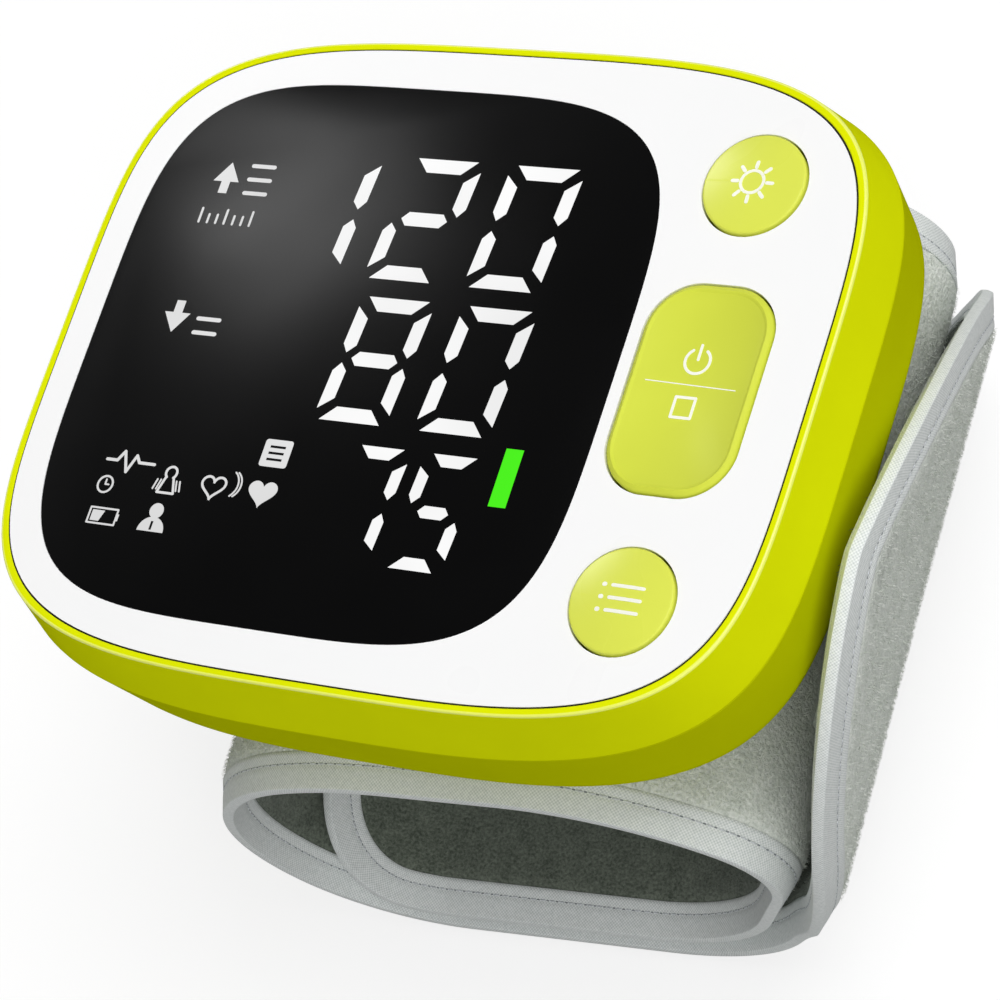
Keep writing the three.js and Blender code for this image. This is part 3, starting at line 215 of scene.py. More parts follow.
FAR_STRETCH = 3 * MM
CUFF_TURN = math.radians(1.7)
INNER_CORNER = 14 * MM
TONGUE_LENGTH = 44 * MM
TONGUE_POWER = 1.6
SPLIT_BEFORE_HINGE = 10 * MM
BLEND_AFTER_HINGE = 6 * MM
HOOK_FROM_HINGE = 27 * MM
HOOK_HALF_LENGTH = 10 * MM
HOOK_HALF_WIDTH = 16 * MM
HOOK_THICKNESS = 0.45 * MM
HOOK_SINK = 0.1 * MM
HOOK_BEVEL = 0.35 * MM
HOOK_ROWS = 30
SLAB_COLUMNS = 40
LINER_MARGIN = 8 * MM
CURLER_HALF_WIDTH = 30 * MM
CURLER_OUTER = 0.6 * MM
CURLER_THICKNESS = 0.4 * MM
BLADDER_HALF_WIDTH = 27 * MM
BLADDER_THICKNESS = 0.5 * MM
SHEET_BEVEL = 0.1 * MM
ROW_STEP = 1.1 * MM
CORNER_STEPS = 22
TONGUE_STEPS = 44
COLUMNS = 34

FACE_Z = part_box("face_panel")[1].z


# Materials

def node_material(name, colour, roughness, **sockets):
    material = bpy.data.materials.new(name)
    material.use_nodes = True
    shader = material.node_tree.nodes["Principled BSDF"]
    shader.inputs["Base Color"].default_value = (*colour, 1)
    shader.inputs["Roughness"].default_value = roughness
    for socket, value in sockets.items():
        shader.inputs[socket.replace("_", " ")].default_value = value
    return material


def add(material, kind, **settings):
    node = material.node_tree.nodes.new(kind)
    for key, value in settings.items():
        if key in node.inputs.keys():
            node.inputs[key].default_value = value
        else:
            setattr(node, key, value)
    return node


def link(material, from_socket, to_socket):
    material.node_tree.links.new(from_socket, to_socket)


def shader_of(material):
    return material.node_tree.nodes["Principled BSDF"]


def linear(red, green, blue):
    """Linear colour from sRGB bytes."""
    def one(byte):
        c = byte / 255
        return c / 12.92 if c <= 0.04045 else ((c + 0.055) / 1.055) ** 2.4
    return (one(red), one(green), one(blue))


def value_of(material, operation, *terms):
    """The output of one step of arithmetic on numbers and sockets."""
    node = add(material, "ShaderNodeMath", operation=operation)
    for socket, term in zip(node.inputs, terms):
        if isinstance(term, (int, float)):
            socket.default_value = term
        else:
            link(material, term, socket)
    return node.outputs["Value"]


def noise_of(material, where, scale, detail, roughness=0.5):
    """Noise over the piece's own space, with a scale per metre."""
    cloud = add(material, "ShaderNodeTexNoise", Scale=scale, Detail=detail, Roughness=roughness)
    link(material, where.outputs["Object"], cloud.inputs["Vector"])
    return cloud.outputs["Fac"]


def toned(material, factor, dark, light, low, high, socket="Base Color"):
    """Colours a socket of the shader from one tone to another, as a factor goes from low to high."""
    ramp = add(material, "ShaderNodeValToRGB")
    for element, place, colour in zip(ramp.color_ramp.elements, (low, high), (dark, light)):
        element.position = place
        element.color = (*colour, 1)
    link(material, factor, ramp.inputs["Fac"])
    link(material, ramp.outputs["Color"], shader_of(material).inputs[socket])


def mottled(material, dark, light, scale, detail):
    """Colour that wanders between two tones; returns the coordinates for more of the same."""
    where = add(material, "ShaderNodeTexCoord")
    toned(material, noise_of(material, where, scale, detail, 0.6), dark, light, 0.35, 0.65)
    return where


def bumped(material, height_socket, strength, distance):
    bump = add(material, "ShaderNodeBump", Strength=strength, Distance=distance)
    link(material, height_socket, bump.inputs["Height"])
    link(material, bump.outputs["Normal"], shader_of(material).inputs["Normal"])


def plastic(name, tone, roughness, scale=2600.0, strength=0.05, spread=0.03, **sockets):
    """Moulded plastic: a nearly even colour, a fine grain and a slow change of gloss."""
    material = node_material(name, tone, roughness, **sockets)
    darker = tuple(c * (1 - spread) for c in tone)
    lighter = tuple(min(1, c * (1 + spread)) for c in tone)
    where = mottled(material, darker, lighter, 45.0, 3.0)
    bumped(material, noise_of(material, where, scale, 3.0, 0.55), strength, GRAIN_HEIGHT)
    limits = {"From Min": 0.3, "From Max": 0.7, "To Min": roughness * 0.88, "To Max": roughness * 1.12}
    gloss = add(material, "ShaderNodeMapRange", **limits)
    link(material, noise_of(material, where, 60.0, 2.0), gloss.inputs["Value"])
    link(material, gloss.outputs["Result"], shader_of(material).inputs["Roughness"])
    return material


def metal(name, tone, roughness):
    """Drawn metal with fine lines along one direction."""
    material = node_material(name, tone, roughness, Metallic=1.0)
    where = mottled(material, tuple(c * 0.86 for c in tone), tone, 300.0, 3.0)
    lines = add(material, "ShaderNodeTexWave", Scale=900.0, Distortion=3.0, Detail=2.0)
    link(material, where.outputs["Object"], lines.inputs["Vector"])
    bumped(material, lines.outputs["Fac"], 0.15, LINE_HEIGHT)
    return material


def fleece(name, dark, light, pattern_scale=1.0):
    """Short-pile loop fabric: mottled, matt, with a soft sheen and a fuzzy relief."""
    material = node_material(
        name, light, 0.95, Specular_IOR_Level=0.2,
        Sheen_Weight=0.25, Sheen_Roughness=0.6, Sheen_Tint=(0.85, 0.9, 0.85, 1),
    )
    where = add(material, "ShaderNodeTexCoord")
    blotch = noise_of(material, where, 420.0 * pattern_scale, 4.0, 0.65)
    pile = noise_of(material, where, 3000.0 * pattern_scale, 3.0, 0.7)
    curls = add(material, "ShaderNodeTexVoronoi", Scale=2200.0 * pattern_scale)
    link(material, where.outputs["Object"], curls.inputs["Vector"])
    both = value_of(material, "MULTIPLY_ADD", blotch, 0.3, value_of(material, "MULTIPLY", pile, 0.7))
    toned(material, both, dark, light, 0.36, 0.64)
    hollows = value_of(material, "MULTIPLY", curls.outputs["Distance"], 0.6)
    bumped(material, value_of(material, "SUBTRACT", pile, hollows), 0.7, FLEECE_HEIGHT)
    return material


def woven(name, dark, light, threads_per_metre):
    """Plain-woven tape: a fine basket of threads in the piece's own flat measure."""
    material = node_material(name, light, 0.75, Specular_IOR_Level=0.3, Sheen_Weight=0.1)
    flat = add(material, "ShaderNodeUVMap", uv_map="flat")
    split = add(material, "ShaderNodeSeparateXYZ")
    link(material, flat.outputs["UV"], split.inputs["Vector"])
    turns = FULL_TURN * threads_per_metre
    waves = [
        value_of(material, "SINE", value_of(material, "MULTIPLY", split.outputs[axis], turns))
        for axis in ("X", "Y")
    ]
    slub = noise_of(material, add(material, "ShaderNodeTexCoord"), 2600.0, 2.0)
    uneven = value_of(material, "MULTIPLY_ADD", slub, 0.4, 0.3)
    threads = value_of(material, "MULTIPLY_ADD", value_of(material, "MULTIPLY", *waves), 0.26, uneven)
    toned(material, threads, dark, light, 0.2, 0.75)
    bumped(material, threads, 0.5, WEAVE_HEIGHT)
    return material


def glowing(name, colour):
    """A lit surface over black, whose light wanders a little."""
    material = node_material(
        name, (0.004, 0.004, 0.004), 0.4, Specular_IOR_Level=0.04, Emission_Strength=1.0
    )
    cloud = noise_of(material, add(material, "ShaderNodeTexCoord"), 70.0, 1.0)
    toned(material, cloud, tuple(c * 0.86 for c in colour), colour, 0.3, 0.7, "Emission Color")
    return material


front_lime = plastic("front_lime", linear(228, 237, 8), 0.45, Specular_IOR_Level=0.0)
# The paler, glossier lime on the rim's outer bevel: partly real gloss, partly a painted highlight line.
painted_highlight_lime = plastic("painted_highlight_lime", linear(240, 248, 104), 0.26, Specular_IOR_Level=0.5)
# The back case's lime is a darker copy of the front's: painted shade on its lower, downward-facing facets.
back_lime_painted_shade = plastic("back_lime_painted_shade", linear(206, 214, 3), 0.5, Specular_IOR_Level=0.0)
lime_key = plastic("lime_key", linear(212, 221, 72), 0.42, Specular_IOR_Level=0.08)
round_lime = plastic("round_lime", linear(222, 230, 84), 0.3, Specular_IOR_Level=0.18)
panel_white = plastic(
    "panel_white", (0.95, 0.95, 0.95), 0.3, 1800.0, strength=0.02, spread=0.004, Specular_IOR_Level=0.15
)
glass_black = plastic(
    "glass_black", (0.001, 0.001, 0.0011), 0.24, 900.0, strength=0.005, spread=0.2, Specular_IOR_Level=0.04
)
# Near-black for the painted shade in the seam round the face panel.
seam_shade_black = plastic("seam_shade_black", (0.006, 0.007, 0.003), 0.7, Specular_IOR_Level=0.1)
fleece_grey = fleece("fleece_grey", linear(202, 209, 199), linear(248, 251, 245))
# A darker copy of the fleece for the band's inner side: painted shade for the inside of the loop.
lining_painted_shade = fleece("lining_painted_shade", linear(66, 74, 63), linear(124, 132, 119))
fibre_pale = node_material("fibre_pale", linear(240, 244, 236), 0.9, Specular_IOR_Level=0.1)
mottled(fibre_pale, linear(206, 213, 202), linear(250, 252, 247), 900.0, 3.0)
tape_grey = woven("tape_grey", linear(196, 203, 201), linear(246, 249, 248), 2800.0)
thread_grey = node_material("thread_grey", linear(196, 201, 204), 0.7)
mottled(thread_grey, linear(176, 181, 184), linear(216, 220, 223), 2500.0, 2.0)
# Darker grey for the dashes at the needle holes: painted shade of the holes.
hole_painted_shade = node_material("hole_painted_shade", linear(128, 134, 138), 0.9)
mottled(hole_painted_shade, linear(108, 114, 118), linear(148, 154, 158), 2500.0, 2.0)
hook_grey = fleece("hook_grey", linear(120, 127, 122), linear(170, 176, 170), 0.6)
digit_white = glowing("digit_white", (0.98, 0.98, 0.98))
bar_green = glowing("bar_green", linear(74, 254, 8))
mark_white = plastic("mark_white", linear(246, 247, 232), 0.4)
label_white = glowing("label_white", (0.8, 0.8, 0.8))

CAD_LOOKS = {
    "display_module": plastic("module_dark", linear(24, 26, 28), 0.5),
    "main_board": plastic("board_green", linear(31, 90, 52), 0.45, spread=0.15),
    "set_switch": metal("switch_tin", linear(205, 205, 200), 0.3),
    "battery_tray": plastic("tray_plastic", linear(216, 216, 212), 0.5),
    "battery_cell_1": plastic("cell_sleeve", linear(43, 74, 140), 0.3, Coat_Weight=0.4),
    "contact_bridge": metal("contact_plated", linear(208, 204, 192), 0.25),
    "pump_head": plastic("pump_black", linear(28, 28, 30), 0.5),
    "pump_motor": metal("motor_steel", linear(170, 170, 170), 0.3),
    "air_manifold": plastic("manifold_white", linear(220, 220, 214), 0.4),
    "pump_hose": plastic("hose_silicone", linear(217, 220, 214), 0.55),
    "cuff_plate": plastic("plate_grey", linear(140, 145, 140), 0.6),
    "curler_sheet": plastic("curler_plastic", linear(230, 230, 226), 0.4),
    "air_bladder": plastic("bladder_rubber", linear(110, 116, 114), 0.7),
    "case_screw_1": metal("screw_zinc", linear(176, 178, 180), 0.35),
}
SAME_LOOKS = {
    "set_switch": ["start_switch", "memory_switch"],
    "battery_cell_1": ["battery_cell_2"],
    "contact_bridge": ["contact_plus", "contact_minus", "contact_spring_1", "contact_spring_2"],
    "pump_head": ["pressure_sensor", "air_nozzle"],
    "pump_motor": ["release_valve"],
    "pump_hose": ["valve_hose", "sensor_hose"],
    "case_screw_1": [f"case_screw_{i}" for i in (2, 3, 4)] + [f"plate_screw_{i}" for i in (1, 2, 3, 4)],
}
for node, material in CAD_LOOKS.items():
    for name in [node, *SAME_LOOKS.get(node, [])]:
        frame["nodes"][name].data.materials.clear()
        frame["nodes"][name].data.materials.append(material)


# Meshes

SHARP_ANGLE = math.radians(38)
SOFT_SHARP_ANGLE = math.radians(50)
FLEECE_SHARP_ANGLE = math.radians(60)
CORNERS = [(1, 1), (-1, 1), (-1, -1), (1, -1)]


def placed(name, data):
    piece = bpy.data.objects.new(name, data)
    bpy.context.scene.collection.objects.link(piece)
    return piece


def made(name, points, faces, material, sharp=SHARP_ANGLE):
    mesh = bpy.data.meshes.new(name)
    mesh.from_pydata([(x, y, max(z, 0.0)) for x, y, z in points], [], faces)
    rebuilt = bmesh.new()
    rebuilt.from_mesh(mesh)
    bmesh.ops.recalc_face_normals(rebuilt, faces=rebuilt.faces)
    rebuilt.to_mesh(mesh)
    rebuilt.free()
    mesh.materials.append(material)
    mesh.shade_smooth()
    mesh.set_sharp_from_angle(angle=sharp)
    return placed(name, mesh)


def tube_faces(first, count, rings, closed=True):
    """Quads between rings of equal count whose points begin at an index, with a flat cap at each end."""
    faces = []
    last = first + (rings - 1) * count
    for low in range(first, last, count):
        for i in range(count):
            j = (i + 1) % count
            faces.append((low + i, low + j, low + count + j, low + count + i))
    if closed:
        faces.append(tuple(reversed(range(first, first + count))))
        faces.append(tuple(range(last, last + count)))
    return faces


def loft(name, rings, material, closed=True):
    return made(name, np.concatenate(rings), tube_faces(0, len(rings[0]), len(rings), closed), material)


def superellipse(half_x, half_y, power_x, power_y, centre_x=0.0):
    angle = np.arange(OUTLINE_STEPS) / OUTLINE_STEPS * FULL_TURN
    c, s = np.cos(angle), np.sin(angle)
    x = centre_x + half_x * np.sign(c) * np.abs(c) ** (2 / power_x)
    y = half_y * np.sign(s) * np.abs(s) ** (2 / power_y)
    return np.stack([x, y], axis=1)


def panel_outline(out_x, out_y):
    return superellipse(PANEL_HALF_WIDTH + out_x, PANEL_HALF_HEIGHT + out_y, PANEL_POWER_X, PANEL_POWER_Y)


def housing_outline(out_x, out_y):
    return superellipse(PANEL_HALF_WIDTH + out_x, PANEL_HALF_HEIGHT + out_y, HOUSING_POWER_X, HOUSING_POWER_Y)


def window_outline(out):
    return superellipse(
        WINDOW_HALF_WIDTH + out, WINDOW_HALF_HEIGHT + out, WINDOW_POWER_X, WINDOW_POWER_Y, WINDOW_CENTRE_X
    )


def rounded_rectangle(half_x, half_y, radius, centre_x=0.0, centre_y=0.0, steps=BUTTON_STEPS):
    points = []
    per_corner = steps // 4
    for corner, (sign_x, sign_y) in enumerate(CORNERS):
        for i in range(per_corner):
            angle = corner * QUARTER_TURN + i / (per_corner - 1) * QUARTER_TURN
            x = centre_x + sign_x * (half_x - radius) + radius * math.cos(angle)
            y = centre_y + sign_y * (half_y - radius) + radius * math.sin(angle)
            points.append((x, y))
    return np.array(points)


def at_depth(outline, depth):
    return np.column_stack([outline, np.full(len(outline), FACE_Z - depth)])


def panel_ring(out, depth):
    return at_depth(panel_outline(out, out), depth)


def crease_ring(inset, depth):
    return at_depth(housing_outline(CREASE_OUT_X - inset, CREASE_OUT_Y - inset), depth)


def slab(name, outline, top_depth, bottom_depth, material=back_lime_painted_shade):
    return loft(name, [at_depth(outline, bottom_depth), at_depth(outline, top_depth)], material)


def block(half_x, half_y, top_depth, bottom_depth, centre_x):
    outline = np.array([(centre_x + sx * half_x, sy * half_y) for sx, sy in CORNERS])
    return slab("block", outline, top_depth, bottom_depth)


def post(radius, top_depth, bottom_depth, x, y, steps=48):
    angle = np.arange(steps) / steps * FULL_TURN
    outline = np.stack([x + radius * np.cos(angle), y + radius * np.sin(angle)], axis=1)
    return slab("post", outline, top_depth, bottom_depth)


def applied(piece):
    """Puts what a piece's modifiers make in the place of its mesh."""
    graph = bpy.context.evaluated_depsgraph_get()
    mesh = bpy.data.meshes.new_from_object(piece.evaluated_get(graph))
    piece.modifiers.clear()
    piece.data = mesh


def combined(piece, others, operation):
    """Joins or cuts a piece with helpers, which are then removed."""
    for other in others:
        modifier = piece.modifiers.new(operation, "BOOLEAN")
        modifier.operation = operation
        modifier.object = other
        modifier.solver = "MANIFOLD"
    applied(piece)
    for other in others:
        bpy.data.objects.remove(other)
    return piece


def smoothed(piece, angle=SHARP_ANGLE):
    """Smooth shading that the large faces lead, with the sharp edges kept."""
    piece.data.shade_smooth()
    piece.data.set_sharp_from_angle(angle=angle)
    piece.modifiers.new("normals", "WEIGHTED_NORMAL").keep_sharp = True
    applied(piece)


def softened(piece):
    """Rounds the sharp edges a little, so that they catch the light."""
    modifier = piece.modifiers.new("edges", "BEVEL")
    modifier.width = EDGE_ROUND
    modifier.segments = 2
    modifier.limit_method = "ANGLE"
    modifier.angle_limit = SHARP_ANGLE
    applied(piece)
    smoothed(piece, SOFT_SHARP_ANGLE)


# Housing

BOSSES = [(x, y) for x in (BOSS_LEFT_X, BOSS_RIGHT_X) for y in (BOSS_Y, -BOSS_Y)]
INNER_DEPTH = BACK_DEPTH - FLOOR


def button_outlines(clearance):
    radius = ROUND_RADIUS + clearance
    long_outline = rounded_rectangle(
        LONG_HALF_WIDTH + clearance, LONG_HALF_HEIGHT + clearance, LONG_CORNER + clearance, BUTTON_X
    )
    rounds = [rounded_rectangle(radius, radius, radius, BUTTON_X, y) for y in (ROUND_Y, -ROUND_Y)]
    return [rounds[0], long_outline, rounds[1]]


def belly_rings(out_x, out_y, lowest_depth):
    rings = []
    for i in range(BELLY_STEPS + 1):
        angle = i / BELLY_STEPS * QUARTER_TURN
        inset = BELLY_INSET * (1 - math.cos(angle))
        depth = SKIRT_DEPTH + (lowest_depth - SKIRT_DEPTH) * math.sin(angle)
        rings.append(at_depth(housing_outline(out_x - inset, out_y - inset), depth))
    return rings


def front_shell():
    rim_out = SEAM_GAP + RIM_WIDTH
    rim = panel_ring(rim_out + RIM_BEVEL, RIM_BEVEL)
    crease = crease_ring(0, CREASE_DEPTH)
    deck = panel_outline(FRONT_INNER_OUT_X, FRONT_INNER_OUT_Y)
    soft = CREASE_ROUND / (CREASE_DEPTH - RIM_BEVEL)

    def rounded_rim(share):
        angle = share * QUARTER_TURN
        return panel_ring(rim_out + RIM_BEVEL * math.sin(angle), RIM_BEVEL * (1 - math.cos(angle)))

    rings = [
        at_depth(deck, DECK_BOTTOM_DEPTH),
        at_depth(deck, CREASE_DEPTH),
        crease_ring(CREASE_ROUND, CREASE_DEPTH),
        crease_ring(CREASE_ROUND * CREASE_TURN_IN, CREASE_DEPTH - CREASE_ROUND * CREASE_TURN_OFF),
        *[rim + (crease - rim) * share for share in (1 - soft, 1 - 2 * soft, 0.5, 2 * soft, soft)],
        *[rounded_rim(share) for share in (1.0, 0.66, 0.33, 0.0)],
        panel_ring(SEAM_GAP + EDGE_ROUND, 0),
        panel_ring(SEAM_GAP, EDGE_ROUND),
        panel_ring(SEAM_GAP, DECK_TOP_DEPTH),
    ]
    shell = loft("front_shell", rings, front_lime)
    module = rounded_rectangle(
        MODULE_HALF_WIDTH + FIT_GAP, MODULE_HALF_HEIGHT + FIT_GAP, MODULE_CORNER + FIT_GAP, WINDOW_CENTRE_X
    )
    openings = [module, *button_outlines(BUTTON_GAP)]
    combined(shell, [slab("cut", o, 0, DECK_BOTTOM_DEPTH + CUT_OVERRUN) for o in openings], "DIFFERENCE")
    smoothed(shell)
    # The rim's outer bevel faces take the paler lime: a painted highlight along the rim, besides its real
    # gloss.
    shell.data.materials.append(painted_highlight_lime)
    for face in shell.data.polygons:
        outward = face.normal.xy.dot(face.center.xy)
        if face.center.z > FACE_Z - RIM_BEVEL and outward > 0 and face.normal.z < HIGHLIGHT_LEVEL_SHARE:
            face.material_index = len(shell.data.materials) - 1
    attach(shell, "monitor")
    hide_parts("front_case")


def back_solid(name):
    parting = CREASE_DEPTH + PARTING_GAP
    lip_top = CREASE_DEPTH - LIP_HEIGHT
    lip_x, lip_y = FRONT_INNER_OUT_X - FIT_GAP, FRONT_INNER_OUT_Y - FIT_GAP
    lip = panel_outline(lip_x, lip_y)
    lip_inner = panel_outline(lip_x - LIP_THICKNESS, lip_y - LIP_THICKNESS)
    crease = crease_ring(0, parting)
    skirt = at_depth(housing_outline(SKIRT_OUT_X, SKIRT_OUT_Y), SKIRT_DEPTH)
    soft = CREASE_ROUND / (SKIRT_DEPTH - parting)
    rings = [
        *reversed(belly_rings(SKIRT_OUT_X - WALL, SKIRT_OUT_Y - WALL, INNER_DEPTH)),
        at_depth(lip_inner, parting),
        at_depth(lip_inner, lip_top),
        at_depth(lip, lip_top),
        at_depth(lip, parting),
        crease_ring(CREASE_ROUND, parting),
        crease_ring(CREASE_ROUND * CREASE_TURN_IN, parting + CREASE_ROUND * CREASE_TURN_OFF),
        *[crease + (skirt - crease) * share for share in (soft, 2 * soft, 0.35, 0.7)],
        *belly_rings(SKIRT_OUT_X, SKIRT_OUT_Y, BACK_DEPTH),
    ]
    return loft(name, rings, back_lime_painted_shade)


def door_region(clearance):
    reach = PANEL_HALF_WIDTH + CREASE_OUT_X + CUT_OVERRUN
    half_x = (reach + DOOR_INNER_X + clearance) / 2
    centre_x = half_x - reach
    return block(
        half_x, DOOR_HALF_LENGTH + clearance, DOOR_TOP_DEPTH - clearance, BACK_DEPTH + CUT_OVERRUN, centre_x
    )


def plate_outline(clearance):
    return rounded_rectangle(
        PLATE_HALF_WIDTH + clearance, PLATE_HALF_LENGTH + clearance, PLATE_CORNER + clearance, PLATE_CENTRE_X
    )


def back_shell():
    shell = back_solid("back_shell")
    floor_middle = INNER_DEPTH + FLOOR / 2
    below = BACK_DEPTH + CUT_OVERRUN
    bosses = [post(BACK_BOSS_RADIUS, BOSS_TOP_DEPTH, floor_middle, x, y) for x, y in BOSSES]
    pad = slab("pad", plate_outline(FLOOR), INNER_DEPTH - FLOOR, floor_middle)
    combined(shell, [*bosses, pad], "UNION")
    pocket_depth = BACK_DEPTH + PLATE_PROUD - PLATE_THICKNESS - PARTING_GAP
    cuts = [door_region(FIT_GAP), slab("pocket", plate_outline(FIT_GAP), pocket_depth, below)]
    cuts += [post(SCREW_HOLE_RADIUS, 0, below, x, y) for x, y in BOSSES]
    cuts += [post(COUNTERBORE_RADIUS, COUNTERBORE_DEPTH, below, x, y) for x, y in BOSSES]
    combined(shell, cuts, "DIFFERENCE")
    smoothed(shell)
    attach(shell, "monitor")
    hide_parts("back_case")


def battery_cover():
    cover = combined(back_solid("battery_cover"), [door_region(0)], "INTERSECT")
    depths = (BACK_DEPTH - FLOOR / 2, BACK_DEPTH + GRIP_HEIGHT)
    places = [GRIP_X - i * GRIP_PITCH for i in range(GRIP_COUNT)]
    combined(cover, [block(GRIP_WIDTH / 2, GRIP_HALF_LENGTH, *depths, x) for x in places], "UNION")
    smoothed(cover)
    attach(cover, "battery_cover")
    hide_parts("battery_door")


def face_inlay():
    inlay = slab("face_inlay", panel_outline(PANEL_GROWTH, PANEL_GROWTH), 0, PANEL_THICKNESS, panel_white)
    openings = [window_outline(WINDOW_GAP), *button_outlines(BUTTON_GAP)]
    below = PANEL_THICKNESS + CUT_OVERRUN
    combined(inlay, [slab("cut", outline, -CUT_OVERRUN, below) for outline in openings], "DIFFERENCE")
    softened(inlay)
    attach(inlay, "monitor")
    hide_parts("face_panel")


def panel_seam_shade():
    """A dark ring of painted shade that fills the seam between the face panel and the housing's rim."""
    inner, outer = PANEL_GROWTH * SEAM_SHADE_INNER_SHARE, SEAM_GAP * SEAM_SHADE_OUTER_SHARE
    corners = [(inner, PANEL_THICKNESS), (outer, PANEL_THICKNESS), (outer, SEAM_SHADE_DEPTH), (inner, SEAM_SHADE_DEPTH)]
    rings = [panel_ring(out, depth) for out, depth in corners]
    shade_ring = loft("panel_seam_shade", rings + rings[:1], seam_shade_black, closed=False)
    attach(shade_ring, "monitor")


def display_window():
    rings = [
        at_depth(window_outline(0), PANEL_THICKNESS),
        at_depth(window_outline(0), EDGE_ROUND),
        at_depth(window_outline(-EDGE_ROUND * EDGE_SHARE), EDGE_ROUND * EDGE_SHARE),
        at_depth(window_outline(-EDGE_ROUND), 0),
    ]
    window = loft("display_window", rings, glass_black)
    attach(window, "monitor")
    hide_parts("display_lens")


def key(name, body, node, sizes, y, profile, material):
    """A key with a flange under the face, and above it a profile of (outward, depth)."""
    skirt = [(FLANGE_WIDTH, FLANGE_BOTTOM_DEPTH), (FLANGE_WIDTH, FLANGE_TOP_DEPTH), (0, FLANGE_TOP_DEPTH)]
    rings = []
    for out, depth in skirt + profile:
        half_x, half_y, corner = (size + out for size in sizes)
        rings.append(at_depth(rounded_rectangle(half_x, half_y, corner, BUTTON_X, y), depth))
    cap = loft(name, rings, material)
    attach(cap, body)
    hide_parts(node)


def round_key(name, body, node, y):
    profile = [(0, BUTTON_BEVEL - BUTTON_PROUD)]
    for i in range(1, ROUND_BEVEL_STEPS + 1):
        angle = i / ROUND_BEVEL_STEPS * QUARTER_TURN
        inset, drop = BUTTON_BEVEL * (1 - math.cos(angle)), BUTTON_BEVEL * (1 - math.sin(angle))
        profile.append((-inset, drop - BUTTON_PROUD))
    for i in range(1, DOME_STEPS):
        outward = 1 - i / DOME_STEPS
        radius = (ROUND_RADIUS - BUTTON_BEVEL) * outward
        profile.append((radius - ROUND_RADIUS, -BUTTON_PROUD - ROUND_DOME * (1 - outward ** 2)))
    key(name, body, node, [ROUND_RADIUS] * 3, y, profile, round_lime)


def long_key():
    foot = LONG_SLOPE_FOOT - BUTTON_BEVEL * LONG_FOOT_SHARE
    profile = [(0, LONG_SLOPE_FOOT), (-LONG_SLOPE_RUN * LONG_FOOT_RUN_SHARE, foot)]
    for share in (0.3, 0.6, 0.85, 0.95, 1.0):
        profile.append((-LONG_SLOPE_RUN * share, foot - (BUTTON_PROUD + foot) * share ** LONG_SLOPE_POWER))
    for share in (0.1, 0.35, 0.7, 0.92, 1.0):
        drop = LONG_RIDGE_DROP * share ** LONG_RIDGE_POWER
        profile.append((-LONG_SLOPE_RUN - LONG_RIDGE_RUN * share, drop - BUTTON_PROUD))
    sizes = (LONG_HALF_WIDTH, LONG_HALF_HEIGHT, LONG_CORNER)
    key("start_key_cap", "start_key", "start_button", sizes, 0, profile, lime_key)


front_shell()
back_shell()
battery_cover()
face_inlay()
panel_seam_shade()
display_window()
round_key("set_key_cap", "set_key", "set_button", ROUND_Y)
round_key("memory_key_cap", "memory_key", "memory_button", -ROUND_Y)
long_key()


# Signs: flat shapes laid on a face, each a list of closed outlines in millimetres

SIGN_LIFT = 0.03 * MM
SIGN_THICKNESS = 0.05 * MM
STROKE_SIDES = 10
SIGN_LEVELS = 7
SIGN_LEVEL_STEP = 0.004 * MM


def stroke(points, width, closed=False):
    """Outlines of a line of a given width: one bar for each run and a disc for each corner."""
    outlines = []
    points = [Vector(p) for p in points]
    ends = points[1:] + points[:1] if closed else points[1:]
    for a, b in zip(points, ends):
        along = (b - a).normalized() * (width / 2)
        side = Vector((-along.y, along.x))
        outlines.append([a - side, b - side, b + side, a + side])
    for p in points:
        outlines.append(disc(p.x, p.y, width / 2, STROKE_SIDES))
    return outlines


def arc_points(x, y, radius, start, end, steps=24):
    angles = [start + (end - start) * i / steps for i in range(steps + 1)]
    return [(x + radius * math.cos(a), y + radius * math.sin(a)) for a in angles]


def disc(x, y, radius, sides=40):
    return arc_points(x, y, radius, 0.0, FULL_TURN, sides)[:-1]


def box_outline(x0, y0, x1, y1):
    return [(x0, y0), (x1, y0), (x1, y1), (x0, y1)]


def sign(name, outlines, top_z, material, body):
    """Thin raised shapes on a level face whose height is top_z."""
    points, faces = [], []
    low = top_z - SIGN_THICKNESS
    for k, outline in enumerate(outlines):
        high = top_z + SIGN_LIFT + k % SIGN_LEVELS * SIGN_LEVEL_STEP
        flat = [(p[0] * MM, p[1] * MM) for p in outline]
        faces += tube_faces(len(points), len(flat), 2)
        points += [(x, y, z) for z in (low, high) for x, y in flat]
    piece = made(name, points, faces, material)
    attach(piece, body)
    return piece


SEGMENTS_OF = {"0": "abcdef", "1": "bc", "2": "abged", "5": "afgcd", "7": "abc", "8": "abcdefg"}


def digit(figure, centre_x, centre_y, half_x, half_y, thick, gap, lean):
    """The lit segments of a seven-segment figure, as outlines in millimetres."""
    w, h, t, g = half_x, half_y, thick, gap
    bar_top = [(-w + g, h), (w - g, h), (w - t - g, h - t), (-w + t + g, h - t)]
    bar_middle = [
        (-w + t * 0.55 + g, 0), (-w + t + g, t / 2), (w - t - g, t / 2),
        (w - t * 0.55 - g, 0), (w - t - g, -t / 2), (-w + t + g, -t / 2),
    ]
    side = [
        (w, h - g * 1.6), (w - t, h - t - g * 1.2), (w - t, t / 2 + g * 0.9),
        (w - t * 0.45, g * 0.8), (w, t / 2 + g),
    ]
    shapes = {
        "a": bar_top,
        "d": [(x, -y) for x, y in bar_top],
        "g": bar_middle,
        "b": side,
        "c": [(x, -y) for x, y in side],
        "e": [(-x, -y) for x, y in side],
        "f": [(-x, y) for x, y in side],
    }
    lit = [shapes[name] for name in SEGMENTS_OF[figure]]
    return [[(centre_x + x + lean * y, centre_y + y) for x, y in shape] for shape in lit]


